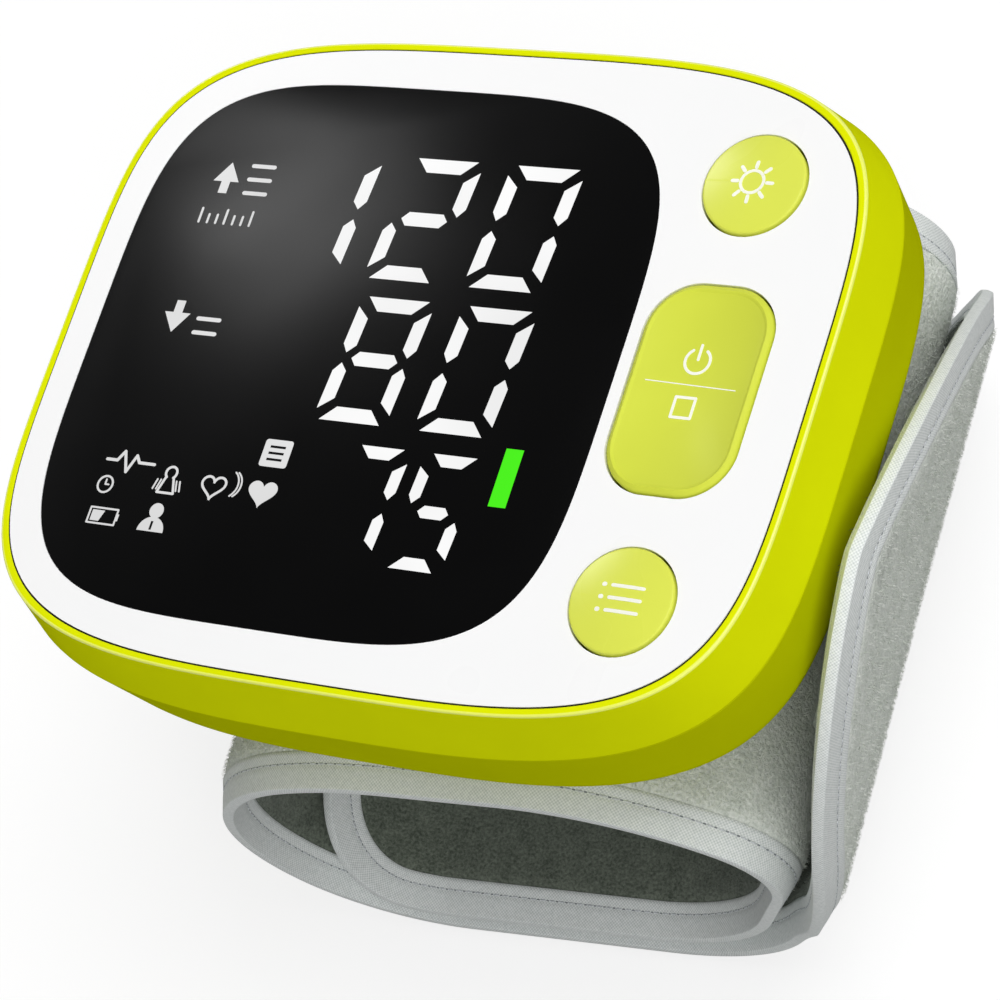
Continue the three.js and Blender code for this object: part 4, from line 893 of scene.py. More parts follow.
LEAN = 0.071
ROW_ONE_Y, ROW_TWO_Y, ROW_THREE_Y = 14.5, -0.45, -14.85
BIG = dict(half_x=4.05, half_y=6.5, thick=1.45, gap=0.7, lean=LEAN)
SMALL = dict(half_x=3.2, half_y=5.8, thick=1.22, gap=0.88, lean=LEAN)
FIGURES = [
    ("1", -15.75, ROW_ONE_Y, BIG), ("2", -4.55, ROW_ONE_Y, BIG), ("0", 6.6, ROW_ONE_Y, BIG),
    ("8", -4.65, ROW_TWO_Y, BIG), ("0", 6.55, ROW_TWO_Y, BIG),
    ("7", -0.85, ROW_THREE_Y, SMALL), ("5", 7.05, ROW_THREE_Y, SMALL),
]
LEVEL_BAR = (12.45, -13.5, 14.3, -7.7)
figures = sum([digit(figure, x, y, **size) for figure, x, y, size in FIGURES], [])
sign("display_figures", figures, FACE_Z, digit_white, "monitor")
sign("display_level_bar", [box_outline(*LEVEL_BAR)], FACE_Z, bar_green, "monitor")


HEART_STEPS = 48
HEART_CURVE_WIDTH = 32
HEART_CURVE_HEIGHT = 34


def heart(x, y, width):
    """A heart outline about a centre, from the common curve of sines and cosines."""
    points = []
    for i in range(HEART_STEPS):
        a = i / HEART_STEPS * FULL_TURN
        px = 16 * math.sin(a) ** 3
        py = 13 * math.cos(a) - 5 * math.cos(2 * a) - 2 * math.cos(3 * a) - math.cos(4 * a)
        points.append((x + px * width / HEART_CURVE_WIDTH, y + py * width / HEART_CURVE_HEIGHT))
    return points


# Places and sizes of the display's signs, in millimetres on the face

BOLD, THIN, FINE = 0.42, 0.24, 0.16
UP_ARROW = [(-30.0, 16.9), (-27.0, 16.9), (-28.5, 19.0)]
UP_STEM = (-29.0, 15.6, -28.0, 17.0)
DOWN_ARROW = [(-30.0, 2.4), (-28.5, 0.3), (-27.0, 2.4)]
DOWN_STEM = (-29.0, 2.3, -28.0, 3.7)
BAR_FROM, BAR_TO = -25.9, -23.4
UPPER_BARS, LOWER_BARS = (15.8, 17.3, 18.8), (0.5, 2.0)
RULER_X, RULER_Y = -30.0, 12.3
RULER_MARKS = (1.5, 0.9, 0.9, 1.5, 0.9, 0.9, 1.5)
TRACE = [
    (-30.4, -13.6), (-29.2, -13.6), (-28.6, -12.6), (-27.8, -14.7),
    (-27.1, -12.9), (-26.6, -13.6), (-24.8, -13.6),
]
TRACE_WIDTH = 0.3
CLOCK = (-29.6, -16.2, 0.85)
CLOCK_WIDTH = 0.2
CLOCK_HANDS = [(-29.6, -15.7), (-29.6, -16.2), (-29.2, -16.2)]
NECK_ANGLE = 0.9
HEAD = (-22.55, -14.2, 0.62)
BODY_LINE = [(-22.1, -14.7), (-21.6, -16.3), (-23.5, -16.3), (-23.0, -14.7)]
ARM_SLANT, ARM_REACHES, ARM_TOP, ARM_FOOT = 0.25, (1.15, 1.55), -15.0, -16.0
BEAT_ARCS = [(-15.85, -14.6, 1.5, -0.9, 1.0, 12), (-16.2, -14.6, 1.5, -0.9, 1.0, 12)]
OPEN_HEART = (-17.4, -15.0, 2.7)
FULL_HEART = (-11.8, -15.0, 3.2)
CARD = (1.55, 1.4, 0.3, -11.75, -10.95, 32)
CARD_ROWS = [(-12.6, row - 0.12, -10.9, row + 0.12) for row in (-10.3, -10.95, -11.6)]
CELL = (-30.2, -20.25, -27.0, -18.65)
CELL_WIDTH = 0.18
CELL_TIP = (-27.0, -19.8, -26.75, -19.1)
CELL_CHARGE = [(-29.9, -20.0), (-28.9, -20.0), (-28.5, -18.9), (-29.9, -18.9)]
PERSON_HEAD = (-22.7, -18.2, 0.78)
PERSON_BODY = (-22.7, -20.35, 1.5, 0.0, math.pi)
PERSON_SLOT = (-22.85, -20.2, -22.6, -19.3)


def bars(rows):
    """Short bold lines beside an arrow."""
    return sum([stroke([(BAR_FROM, y), (BAR_TO, y)], BOLD) for y in rows], [])


def display_marks():
    """Plain signs where the photograph has words and small pictures."""
    shapes = [UP_ARROW, box_outline(*UP_STEM), *bars(UPPER_BARS)]
    for i, tall in enumerate(RULER_MARKS):
        shapes += stroke([(RULER_X + i, RULER_Y), (RULER_X + i, RULER_Y + tall)], THIN)
    shapes += [DOWN_ARROW, box_outline(*DOWN_STEM), *bars(LOWER_BARS)]
    shapes += stroke(TRACE, TRACE_WIDTH)
    shapes += stroke(arc_points(*CLOCK, 0, FULL_TURN), CLOCK_WIDTH)
    shapes += stroke(CLOCK_HANDS, FINE)
    shapes += stroke(arc_points(*HEAD, -NECK_ANGLE, math.pi + NECK_ANGLE), THIN)
    shapes += stroke(BODY_LINE, THIN)
    for side in (-1, 1):
        for reach in ARM_REACHES:
            top, foot = HEAD[0] + side * (reach - ARM_SLANT), HEAD[0] + side * reach
            shapes += stroke([(top, ARM_TOP), (foot, ARM_FOOT)], FINE)
    for beat in BEAT_ARCS:
        shapes += stroke(arc_points(*beat), FINE)
    shapes += stroke(heart(*OPEN_HEART), THIN, closed=True)
    shapes += [heart(*FULL_HEART), rounded_rectangle(*CARD)]
    shapes += stroke(box_outline(*CELL), CELL_WIDTH, closed=True)
    shapes += [box_outline(*CELL_TIP), CELL_CHARGE, disc(*PERSON_HEAD), arc_points(*PERSON_BODY)]
    sign("display_marks", shapes, FACE_Z, label_white, "monitor")
    dark = [box_outline(*corners) for corners in (*CARD_ROWS, PERSON_SLOT)]
    sign("display_dark_marks", dark, FACE_Z + SIGN_LIFT, glass_black, "monitor")


display_marks()

KEY_TOP = FACE_Z + BUTTON_PROUD
LONG_TOP = FACE_Z + BUTTON_PROUD - LONG_RIDGE_DROP


def on_dome(piece, centre_y):
    """Lays a flat sign on the crown of a round key."""
    for vertex in piece.data.vertices:
        away = math.hypot(vertex.co.x - BUTTON_X, vertex.co.y - centre_y)
        share = 1 - min(1, away / (ROUND_RADIUS - BUTTON_BEVEL))
        vertex.co.z += ROUND_DOME * (1 - (1 - share) ** 2)


# Places and sizes of the keys' signs, in millimetres from the middle of the keys' column

WHEEL_RADIUS, WHEEL_WIDTH = 1.15, 0.3
TOOTH_COUNT = 8
TOOTH_FROM, TOOTH_TO, TOOTH_WIDTH = 1.5, 2.05, 0.36
LIST_ROWS = (-1.2, 0, 1.2)
LIST_DOT, LIST_DOT_WIDTH = (-1.9, -1.8), 0.42
LIST_LINE, LIST_LINE_WIDTH = (-1.0, 2.1, 12), 0.34
POWER_Y, POWER_RADIUS, POWER_WIDTH = 2.75, 1.25, 0.28
POWER_ARC = (math.radians(125), math.radians(415))
POWER_BAR = [(0, 2.9), (0, 4.35)]
DIVIDER, DIVIDER_WIDTH = [(-4.6, 0.45), (4.6, 0.25)], 0.1
STOP_SQUARE = [(-1.0, -2.9), (1.0, -2.9), (1.0, -0.9), (-1.0, -0.9)]


def key_marks():
    x, y = BUTTON_X / MM, ROUND_Y / MM

    def moved(points):
        return [(x + px, py) for px, py in points]

    wheel = stroke(arc_points(x, y, WHEEL_RADIUS, 0, FULL_TURN), WHEEL_WIDTH)
    for i in range(TOOTH_COUNT):
        a = i / TOOTH_COUNT * FULL_TURN
        tooth = [(x + away * math.cos(a), y + away * math.sin(a)) for away in (TOOTH_FROM, TOOTH_TO)]
        wheel += stroke(tooth, TOOTH_WIDTH)
    on_dome(sign("set_key_mark", wheel, KEY_TOP, mark_white, "set_key"), ROUND_Y)
    rows = []
    for row in LIST_ROWS:
        rows += stroke(moved([(along, row - y) for along in LIST_DOT]), LIST_DOT_WIDTH)
        rows += stroke(moved([(along, row - y) for along in np.linspace(*LIST_LINE)]), LIST_LINE_WIDTH)
    on_dome(sign("memory_key_mark", rows, KEY_TOP, mark_white, "memory_key"), -ROUND_Y)
    power = stroke(arc_points(x, POWER_Y, POWER_RADIUS, *POWER_ARC), POWER_WIDTH)
    power += stroke(moved(POWER_BAR), POWER_WIDTH)
    power += stroke(moved(DIVIDER), DIVIDER_WIDTH)
    power += stroke(moved(STOP_SQUARE), POWER_WIDTH, closed=True)
    sign("start_key_mark", power, LONG_TOP, mark_white, "start_key")


key_marks()


# Cuff: the route of the band's middle layer, in arcs and straight runs of a length and a bend

LOWER_LEFT_TURN = math.pi - SHOULDER_TURN - LEFT_TURN
LOWER_RIGHT_TURN = math.pi - RIGHT_TURN - UPPER_RIGHT_TURN
INNER_HEADING = -(INNER_END_TURN + LOWER_LEFT_TURN)
STRAIGHT = 0.0


def arc(radius, turn):
    return radius * turn, 1 / radius


def stepped(length, bend, x, z, heading):
    """Place and heading after a length of a segment that begins at a place with a heading."""
    half_turn = length * bend / 2
    chord = length * np.sinc(half_turn / math.pi)
    along = heading + half_turn
    return x + chord * np.cos(along), z + chord * np.sin(along), along + half_turn


def stops(segments, heading):
    """Place, heading and length so far at the start of each segment, and at the end of the last."""
    places = [(0.0, 0.0, heading, 0.0)]
    for length, bend in segments:
        *place, so_far = places[-1]
        places.append((*stepped(length, bend, *place), so_far + length))
    return places


def band_segments():
    """The loop from the inner end to the wrap's corner, and the flap from there to the tip."""
    lower_right = arc(LOWER_RIGHT_RADIUS, LOWER_RIGHT_TURN)
    upper_right = [arc(RIGHT_RADIUS, RIGHT_TURN), arc(UPPER_RIGHT_RADIUS, UPPER_RIGHT_TURN)]
    left = [
        arc(SHOULDER_RADIUS, SHOULDER_TURN),
        arc(LEFT_RADIUS, LEFT_TURN),
        arc(LOWER_LEFT_RADIUS, LOWER_LEFT_TURN),
    ]
    lower_reach, lower_rise, _, _ = stops([lower_right], 0.0)[-1]
    upper_reach, upper_rise, _, _ = stops(upper_right, LOWER_RIGHT_TURN)[-1]
    left_reach, left_rise, _, _ = stops(left, math.pi)[-1]
    right_run = -(left_rise + LAYER_RISE + upper_rise + lower_rise) / math.sin(LOWER_RIGHT_TURN)
    right_reach = lower_reach + right_run * math.cos(LOWER_RIGHT_TURN) + upper_reach
    bottom_start = SEAT_START_X - SEAT_RUN + left_reach
    loop = [
        arc(LEFT_RADIUS - LAYER_RISE, INNER_END_TURN),
        arc(LOWER_LEFT_RADIUS - LAYER_RISE, LOWER_LEFT_TURN),
        (SEAT_START_X - right_reach - bottom_start, STRAIGHT),
        lower_right,
        (right_run, STRAIGHT),
        *upper_right,
        (SEAT_RUN, STRAIGHT),
        *left,
        (CORNER_START_X - bottom_start, STRAIGHT),
        arc(CORNER_RADIUS, CORNER_TURN),
    ]
    return loop, [arc(FLAP_RADIUS, FLAP_TURN), (FLAP_TIP_RUN, STRAIGHT)]


LOOP_SEGMENTS, FLAP_SEGMENTS = band_segments()
ALL_SEGMENTS = LOOP_SEGMENTS + FLAP_SEGMENTS
BEFORE_SEAT = 7
BEFORE_BOTTOM = 2
STOPS = np.array(stops(ALL_SEGMENTS, INNER_HEADING))
BENDS = np.array([bend for _, bend in ALL_SEGMENTS])
SEAT_START = STOPS[BEFORE_SEAT]
BOTTOM_LENGTH = STOPS[BEFORE_BOTTOM, -1]
HINGE_LENGTH = STOPS[len(LOOP_SEGMENTS), -1]
BAND_LENGTH = STOPS[-1, -1]


def on_band(length, across, outward):
    """From the flat pattern to the wound band, as points of the frame."""
    length, across, outward = np.broadcast_arrays(length, across, outward)
    which = np.clip(np.searchsorted(STOPS[:, -1], length, side="right") - 1, 0, len(ALL_SEGMENTS) - 1)
    *place, so_far = STOPS[which].T
    x, z, heading = stepped(length - so_far, BENDS[which], *place)
    x = x - SEAT_START[0] + SEAT_START_X
    z = z - SEAT_START[1] + SEAT_HEIGHT
    past = np.maximum(0, length - HINGE_LENGTH)
    slant = EDGE_SLANT * x - FLAP_SLANT * past**2 / (past + SLANT_EASE)
    risen = (past / (BAND_LENGTH - HINGE_LENGTH)) ** 2
    far = risen * np.clip(across / (BAND_WIDTH / 2), 0, 1)
    outward = outward + FAR_CURL * far
    across = across + FAR_STRETCH * far
    px = x + outward * np.sin(heading)
    py = BAND_CENTRE_Y + across + slant
    pz = z - outward * np.cos(heading)
    c, s = math.cos(CUFF_TURN), math.sin(CUFF_TURN)
    return np.stack([px * c - py * s, px * s + py * c, pz], axis=-1)


# Borders of the flat pattern, front half: (along, across, inward along, inward across)

def loop_border(start, end):
    count = max(2, round((end - start - INNER_CORNER) / ROW_STEP))
    rows = [(along, -BAND_WIDTH / 2, 0.0, 1.0) for along in np.linspace(end, start + INNER_CORNER, count)]
    for i in range(1, CORNER_STEPS + 1):
        angle = i / CORNER_STEPS * QUARTER_TURN
        rows.append((
            start + INNER_CORNER * (1 - math.sin(angle)),
            -BAND_WIDTH / 2 + INNER_CORNER * (1 - math.cos(angle)),
            math.sin(angle),
            math.cos(angle),
        ))
    return np.array(rows)


def flap_border(start):
    tongue_start = BAND_LENGTH - TONGUE_LENGTH
    count = max(2, round((tongue_start - start) / ROW_STEP))
    rows = [(along, -BAND_WIDTH / 2, 0.0, 1.0) for along in np.linspace(start, tongue_start, count)]
    for i in range(1, TONGUE_STEPS + 1):
        angle = i / (TONGUE_STEPS + 0.5) * QUARTER_TURN
        c = math.cos(angle) ** (2 / TONGUE_POWER)
        s = math.sin(angle) ** (2 / TONGUE_POWER)
        slope_along = s ** (TONGUE_POWER - 1) / TONGUE_LENGTH
        slope_across = c ** (TONGUE_POWER - 1) / (BAND_WIDTH / 2)
        size = math.hypot(slope_along, slope_across)
        rows.append((
            tongue_start + TONGUE_LENGTH * s,
            -BAND_WIDTH / 2 * c,
            -slope_along / size,
            slope_across / size,
        ))
    return np.array(rows)


HALF = BAND_THICKNESS / 2
PAD_RINGS = [
    (1.4 * MM, 0.6 * MM),
    (2.4 * MM, 0.95 * MM),
    (3.2 * MM, 1.08 * MM),
    (3.5 * MM, 1.18 * MM),
    (3.64 * MM, 1.34 * MM),
    (3.85 * MM, 1.5 * MM),
    (4.3 * MM, 1.62 * MM),
    (5.2 * MM, 1.68 * MM),
    (7.6 * MM, 1.66 * MM),
]
PAD_FULL = 1.64 * MM
LEG_REACH = 3.5 * MM
NOSE_SHARE = 0.34
NOSE_ROUND = 0.14 * MM
NOSE_BULGE = 0.08 * MM
STITCH_INSET = 2.4 * MM
STITCH_PULL = 0.1 * MM
STITCH_DENT = 0.3 * MM
STITCH_PITCH = 1.1 * MM
PUCKER = 0.008 * MM
PUCKER_FROM_SHARE = 0.9
PAD_STILL_SHARE = 0.8
PAD_EASE_SHARE = 0.25
PILE_WANDER = 0.07 * MM
PILE_SIZE = 1.3 * MM
ROLL_WANDER = 0.1 * MM
ROLL_SIZE = 9 * MM
WANDER_LIMIT = 0.03 * MM
LEG_STEPS = 20
NOSE_STEPS = 3
TAPE_BACK_INSETS = (TAPE_WIDTH, STITCH_INSET, TAPE_WIDTH * 0.42, TAPE_THICKNESS * 1.6)
TAPE_BACK_NOSE = TAPE_THICKNESS * 1.3
TAPE_EDGE_DROP = TAPE_THICKNESS * 0.3


def pad_grid(border):
    """Flat places and faces of a sheet inside a border: rings near the edge, rows across between."""
    last, inmost = len(border) - 1, len(PAD_RINGS) - 1
    spots, index = [], {}

    def spot(i, r, c):
        """The point of the border's place i on ring r, shifted across by c columns."""
        if (i, r, c) not in index:
            along, across, in_along, in_across = border[i]
            inset, height = PAD_RINGS[r]
            level = PAD_FULL if r == inmost and 0 < c < COLUMNS else height
            side = across + inset * in_across
            index[i, r, c] = len(spots)
            spots.append((along + inset * in_along, side - 2 * side * c / COLUMNS, level))
        return index[i, r, c]

    def cell(place, first, second):
        """A face round a cell, from one point and the steps along its two sides."""
        corners = (place, place + first, place + first + second, place + second)
        return [spot(*corner) for corner in corners]

    faces = []
    next_place, next_ring, next_column = np.eye(3, dtype=int)
    for i in range(last):
        for r in range(inmost):
            faces += [cell((i, r, c), next_place, next_ring) for c in (0, COLUMNS)]
        faces += [cell((i, inmost, c), next_place, next_column) for c in range(COLUMNS)]
    for r in range(inmost):
        faces += [cell((last, r, c), next_column, next_ring) for c in range(COLUMNS)]
    edge = [spot(i, 0, 0) for i in range(last + 1)]
    edge += [spot(last, 0, c) for c in range(1, COLUMNS)]
    edge += [spot(i, 0, COLUMNS) for i in reversed(range(last + 1))]
    end_row = [spot(0, r, 0) for r in range(inmost + 1)]
    end_row += [spot(0, inmost, c) for c in range(1, COLUMNS)]
    end_row += [spot(0, r, COLUMNS) for r in reversed(range(inmost + 1))]
    return np.array(spots), faces, edge, end_row


def wandered(places, spread, size):
    """A smooth wandering height for each point, the same on every run."""
    return np.array([noise.noise(Vector(p) / size) for p in places]) * spread


def flat_measure(mesh, spots):
    layer = mesh.uv_layers.new(name="flat")
    corner = np.zeros(len(mesh.loops), np.int64)
    mesh.loops.foreach_get("vertex_index", corner)
    layer.data.foreach_set("uv", np.asarray(spots, float)[corner][:, :2].astype(np.float32).ravel())


def pad(name, border, material):
    """The padded band inside its tape: fleece outside, a darker copy of it inside as painted shade, crowned
    beside the tape.
    """
    spots, faces, edge, end_row = pad_grid(border)
    count = len(spots)
    along, across, height = spots.T
    middle = on_band(along, across, 0.0)
    full = np.clip((height - HALF * PAD_STILL_SHARE) / (HALF * PAD_EASE_SHARE), 0, 1)

    def side(facing, shift):
        """The points of one side, whose height wanders where the padding is full."""
        fine = wandered(middle + shift, PILE_WANDER, PILE_SIZE)
        wander = full * (fine + wandered(middle + (shift + 1), ROLL_WANDER, ROLL_SIZE))
        return on_band(along, across, facing * (height + np.minimum(wander, WANDER_LIMIT)))

    points = np.concatenate([side(1, 0), side(-1, 2)])
    quads = faces + [[i + count for i in reversed(face)] for face in faces]
    for row in (edge, end_row):
        quads += [[a, b, b + count, a + count] for a, b in zip(row, row[1:])]
    piece = made(name, points, quads, material, FLEECE_SHARP_ANGLE)
    # The inner side takes the darker fleece: painted shade.
    piece.data.materials.append(lining_painted_shade)
    which = [int(len(faces) <= i < 2 * len(faces)) for i in range(len(quads))]
    piece.data.polygons.foreach_set("material_index", which)
    flat_measure(piece.data, np.concatenate([spots, spots]))
    return piece


def leg_height(inset):
    """Height of the tape's outer face over the band's middle, at a distance from the edge."""
    share = min(1, inset / LEG_REACH)
    return HALF * (NOSE_SHARE + (1 - NOSE_SHARE) * share)


def tape_profile():
    """Section of the folded tape, as (inset, outward): outer leg, nose, inner leg, and back inside."""
    outside = []
    for share in np.linspace(1, 0, LEG_STEPS):
        inset = NOSE_ROUND + (TAPE_WIDTH - NOSE_ROUND) * share ** 1.3
        pull = STITCH_PULL * math.exp(-(((inset - STITCH_INSET) / STITCH_DENT) ** 2))
        outside.append((inset, leg_height(inset) - pull - (TAPE_EDGE_DROP if share == 1 else 0.0)))
    corner = leg_height(NOSE_ROUND)
    for i in range(1, NOSE_STEPS + 1):
        angle = i / NOSE_STEPS * QUARTER_TURN
        outside.append((NOSE_ROUND * (1 - math.sin(angle)), corner - NOSE_ROUND * (1 - math.cos(angle))))
    back = [(inset, leg_height(inset) - TAPE_THICKNESS) for inset in TAPE_BACK_INSETS]

    def mirrored(points):
        return [(inset, -out) for inset, out in points]

    nose = [(-NOSE_BULGE, 0.0)]
    return outside + nose + mirrored(outside[::-1]) + mirrored(back) + [(TAPE_BACK_NOSE, 0.0)] + back[::-1]


def whole_border(border):
    """The front half, the straight end and the mirrored back half as one line."""
    last = border[-1]
    closes_in_tip = abs(last[3]) > 0.1
    steps = 1 if closes_in_tip else max(1, round(2 * abs(last[1]) / ROW_STEP))
    end = [(last[0], last[1] * (1 - 2 * i / steps), last[2], 0.0) for i in range(1, steps)]
    back = [(a, -b, c, -d) for a, b, c, d in reversed(border.tolist())]
    return np.array(border.tolist() + end + back)


def ran_along(line):
    """Distance along a border line, of each of its points."""
    steps = np.hypot(np.diff(line[:, 0]), np.diff(line[:, 1]))
    return np.concatenate([[0.0], np.cumsum(steps)])


def tape_piece(name, border, material):
    line = whole_border(border)
    section = np.array(tape_profile())
    around = np.concatenate([[0.0], np.cumsum(np.hypot(*np.diff(section, axis=0).T))])
    inset, outward = section.T
    points, flat = [], []
    for (along, across, in_along, in_across), distance in zip(line, ran_along(line)):
        pucker = PUCKER * math.sin(distance / STITCH_PITCH * FULL_TURN)
        grown = np.where(np.abs(outward) > HALF * PUCKER_FROM_SHARE, np.sign(outward) * pucker, 0.0)
        points.append(on_band(along + inset * in_along, across + inset * in_across, outward + grown))
        flat += [(distance, a) for a in around]
    faces = tube_faces(0, len(section), len(line))
    piece = made(name, np.concatenate(points), faces, material, SOFT_SHARP_ANGLE)
    flat_measure(piece.data, flat)
    return piece


THREAD_LENGTH = 0.7 * MM
THREAD_RADIUS = 0.09 * MM
HOLE_LENGTH = 0.46 * MM
HOLE_RADIUS = 0.1 * MM
HOLE_SINK = HOLE_RADIUS * 0.55
DASH_SIDES = 8
DASH_END_SINK = 0.8
DASH_RINGS = [(-0.5, 0.25), (-0.42, 0.75), (-0.2, 1.0), (0.2, 1.0), (0.42, 0.75), (0.5, 0.25)]


def dashes(name, border, length, radius, shift, sink, material):
    """A row of short rounded dashes along the tape, on its outer and its inner face."""
    line = whole_border(border)
    ran = ran_along(line)
    count = int(ran[-1] / STITCH_PITCH)
    lift = leg_height(STITCH_INSET) - STITCH_PULL - sink
    around = np.arange(DASH_SIDES) / DASH_SIDES * FULL_TURN
    points, faces = [], []
    for face in (1, -1):
        for k in range(1, count):
            middle = (k + shift) * ran[-1] / count
            faces += tube_faces(len(points) * DASH_SIDES, DASH_SIDES, len(DASH_RINGS))
            for share, size in DASH_RINGS:
                at = middle + share * length
                along, across, in_along, in_across = (np.interp(at, ran, line[:, c]) for c in range(4))
                inset = STITCH_INSET + radius * size * np.cos(around)
                out = lift + (size - 1) * radius * DASH_END_SINK + radius * size * np.sin(around)
                points.append(on_band(along + inset * in_along, across + inset * in_across, face * out))
    return made(name, np.concatenate(points), faces, material, FLEECE_SHARP_ANGLE)


def thread(name, border):
    return dashes(name, border, THREAD_LENGTH, THREAD_RADIUS, 0.5, 0.0, thread_grey)


def needle_holes(name, border):
    # The darker dashes between the stitches are painted shade of the needle holes.
    return dashes(name, border, HOLE_LENGTH, HOLE_RADIUS, 0.0, HOLE_SINK, hole_painted_shade)


FIBRE_LENGTH = 0.62 * MM
FIBRE_WIDTH = 0.075 * MM
FIBRE_LIFT = 0.42 * MM
OUTER_FIBRES_PER_MM2 = 5.5
INNER_FIBRES_PER_MM2 = 1.5
FIBRE_BENDS = 2
FIBRE_ROOT = 0.04 * MM
FIBRE_CURL = 1.1
FIBRE_TAPER = 0.8
FIBRE_RISE = 1.5
PILE_EDGE = PAD_RINGS[5][0]
PILE_START_SHARE = 0.2
PILE_END_SHARE = 0.4


def pile(name, border, seed):
    """Loose fibres that stand off the fleece, each a thin bent blade."""
    rng = np.random.default_rng(seed)
    border = border[np.argsort(border[:, 0])]
    low, high = border[0, 0] + PILE_EDGE * PILE_START_SHARE, border[-1, 0]
    area = (high - low) * BAND_WIDTH / MM ** 2
    starts_whole = border[0, 0] > PILE_EDGE
    nearer_end, past_end = (PILE_EDGE, {"right": 0.0}) if starts_whole else (-PILE_EDGE, {"left": 0.0})

    def half_width(along, **past):
        return np.interp(along, border[:, 0], -border[:, 1], **past)

    points, faces, sides = [], [], []
    for face, density in ((1, OUTER_FIBRES_PER_MM2), (-1, INNER_FIBRES_PER_MM2)):
        count = int(area * density)
        a = rng.uniform(low, high, count)
        b = rng.uniform(-0.5, 0.5, count) * BAND_WIDTH
        limit_at_end = half_width(a + nearer_end, **past_end) - PILE_EDGE * PILE_END_SHARE
        inside = np.abs(b) < np.minimum(half_width(a) - PILE_EDGE, limit_at_end)
        a, b = a[inside], b[inside]
        count = len(a)
        h = np.full(count, PAD_FULL - FIBRE_ROOT)
        angle = rng.uniform(0, FULL_TURN, count)
        size = rng.uniform(0.5, 1.0, count)
        spots = []
        for bend in range(FIBRE_BENDS + 1):
            width = FIBRE_WIDTH * (1 - FIBRE_TAPER * bend / FIBRE_BENDS) / 2
            side_a, side_b = -np.sin(angle) * width, np.cos(angle) * width
            spots += [on_band(a + way * side_a, b + way * side_b, face * h) for way in (1, -1)]
            a = a + np.cos(angle) * FIBRE_LENGTH / FIBRE_BENDS * size
            b = b + np.sin(angle) * FIBRE_LENGTH / FIBRE_BENDS * size
            h = h + FIBRE_LIFT / FIBRE_BENDS * size * (FIBRE_RISE - bend)
            angle = angle + rng.uniform(-FIBRE_CURL, FIBRE_CURL, count)
        start = sum(map(len, points))
        points.append(np.stack(spots, axis=1).reshape(-1, 3))
        for first in range(start, start + len(points[-1]), 2 * (FIBRE_BENDS + 1)):
            faces += [(c, c + 1, c + 3, c + 2) for c in range(first, first + 2 * FIBRE_BENDS, 2)]
        sides += [int(face < 0)] * (count * FIBRE_BENDS)
    points = np.concatenate(points)
    points[:, 2] = np.maximum(points[:, 2], 0.0)
    mesh = bpy.data.meshes.new(name)
    mesh.from_pydata(points, [], faces)
    mesh.materials.append(fibre_pale)
    # Fibres on the inner side take the darker fleece of painted shade.
    mesh.materials.append(lining_painted_shade)
    mesh.polygons.foreach_set("material_index", sides)
    mesh.shade_smooth()
    return placed(name, mesh)


def band_slab(name, start, end, half_width, high, low, bevel, rows, material):
    """A flat patch that follows the band between two heights, its inner edges bevelled."""
    levels = [(0.0, high), (0.0, low + bevel), (bevel, low)]
    points, index = [], {}

    def spot(level, r, c):
        if (level, r, c) not in index:
            inset, out = levels[level]
            along = start + inset + r / rows * (end - start - 2 * inset)
            across = (half_width - inset) * (2 * c / SLAB_COLUMNS - 1)
            index[level, r, c] = len(points)
            points.append(on_band(along, across, out))
        return index[level, r, c]

    border = [(0, c) for c in range(SLAB_COLUMNS)]
    border += [(r, SLAB_COLUMNS) for r in range(rows)]
    border += [(rows, SLAB_COLUMNS - c) for c in range(SLAB_COLUMNS)]
    border += [(rows - r, 0) for r in range(rows)]
    faces = []
    for level in (0, 1):
        for a, b in zip(border, border[1:] + border[:1]):
            faces.append((spot(level, *a), spot(level, *b), spot(level + 1, *b), spot(level + 1, *a)))
    for level in (0, 2):
        for r in range(rows):
            for c in range(SLAB_COLUMNS):
                corners = ((r, c), (r, c + 1), (r + 1, c + 1), (r + 1, c))
                faces.append(tuple(spot(level, *corner) for corner in corners))
    return made(name, points, faces, material)


SPLIT_LENGTH = HINGE_LENGTH - SPLIT_BEFORE_HINGE
loop_edge = loop_border(0.0, SPLIT_LENGTH)
flap_edge = flap_border(SPLIT_LENGTH)
blend_start = Vector(on_band(SPLIT_LENGTH, 0.0, 0.0))
blend_end = Vector(on_band(HINGE_LENGTH + BLEND_AFTER_HINGE, 0.0, 0.0))
hinge_axis = Vector((-math.sin(CUFF_TURN), math.cos(CUFF_TURN), 0))
blend_run = blend_end - blend_start
blend_end = blend_start + blend_run - hinge_axis * blend_run.dot(hinge_axis)

loop_pad = pad("cuff_fleece", loop_edge, fleece_grey)
flap_pad = pad("flap_fleece", flap_edge, fleece_grey)
loop_pieces = {
    loop_pad: ["cuff_shell", "cuff_lining"],
    tape_piece("cuff_tape", loop_edge, tape_grey): ["cuff_binding"],
    thread("cuff_stitching", loop_edge): [],
    needle_holes("cuff_needle_holes", loop_edge): [],
    pile("cuff_pile", loop_edge, 5): [],
}
flap_pieces = {
    flap_pad: ["flap_shell", "flap_lining"],
    tape_piece("flap_tape", flap_edge, tape_grey): ["flap_binding"],
    thread("flap_stitching", flap_edge): [],
    needle_holes("flap_needle_holes", flap_edge): [],
    pile("flap_pile", flap_edge, 6): [],
}
for piece, nodes in loop_pieces.items():
    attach(piece, "monitor")
    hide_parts(*nodes)
for piece, nodes in flap_pieces.items():
    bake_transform(piece)
    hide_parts(*nodes)

hook_start = HINGE_LENGTH + HOOK_FROM_HINGE - HOOK_HALF_LENGTH
hook_base = -HALF - FIT_GAP
hook = band_slab(
    "hook_pad", hook_start, hook_start + 2 * HOOK_HALF_LENGTH, HOOK_HALF_WIDTH,
    hook_base + HOOK_SINK, hook_base - HOOK_THICKNESS, HOOK_BEVEL, HOOK_ROWS, hook_grey,
)
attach(hook, "flap")
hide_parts("hook_patch")

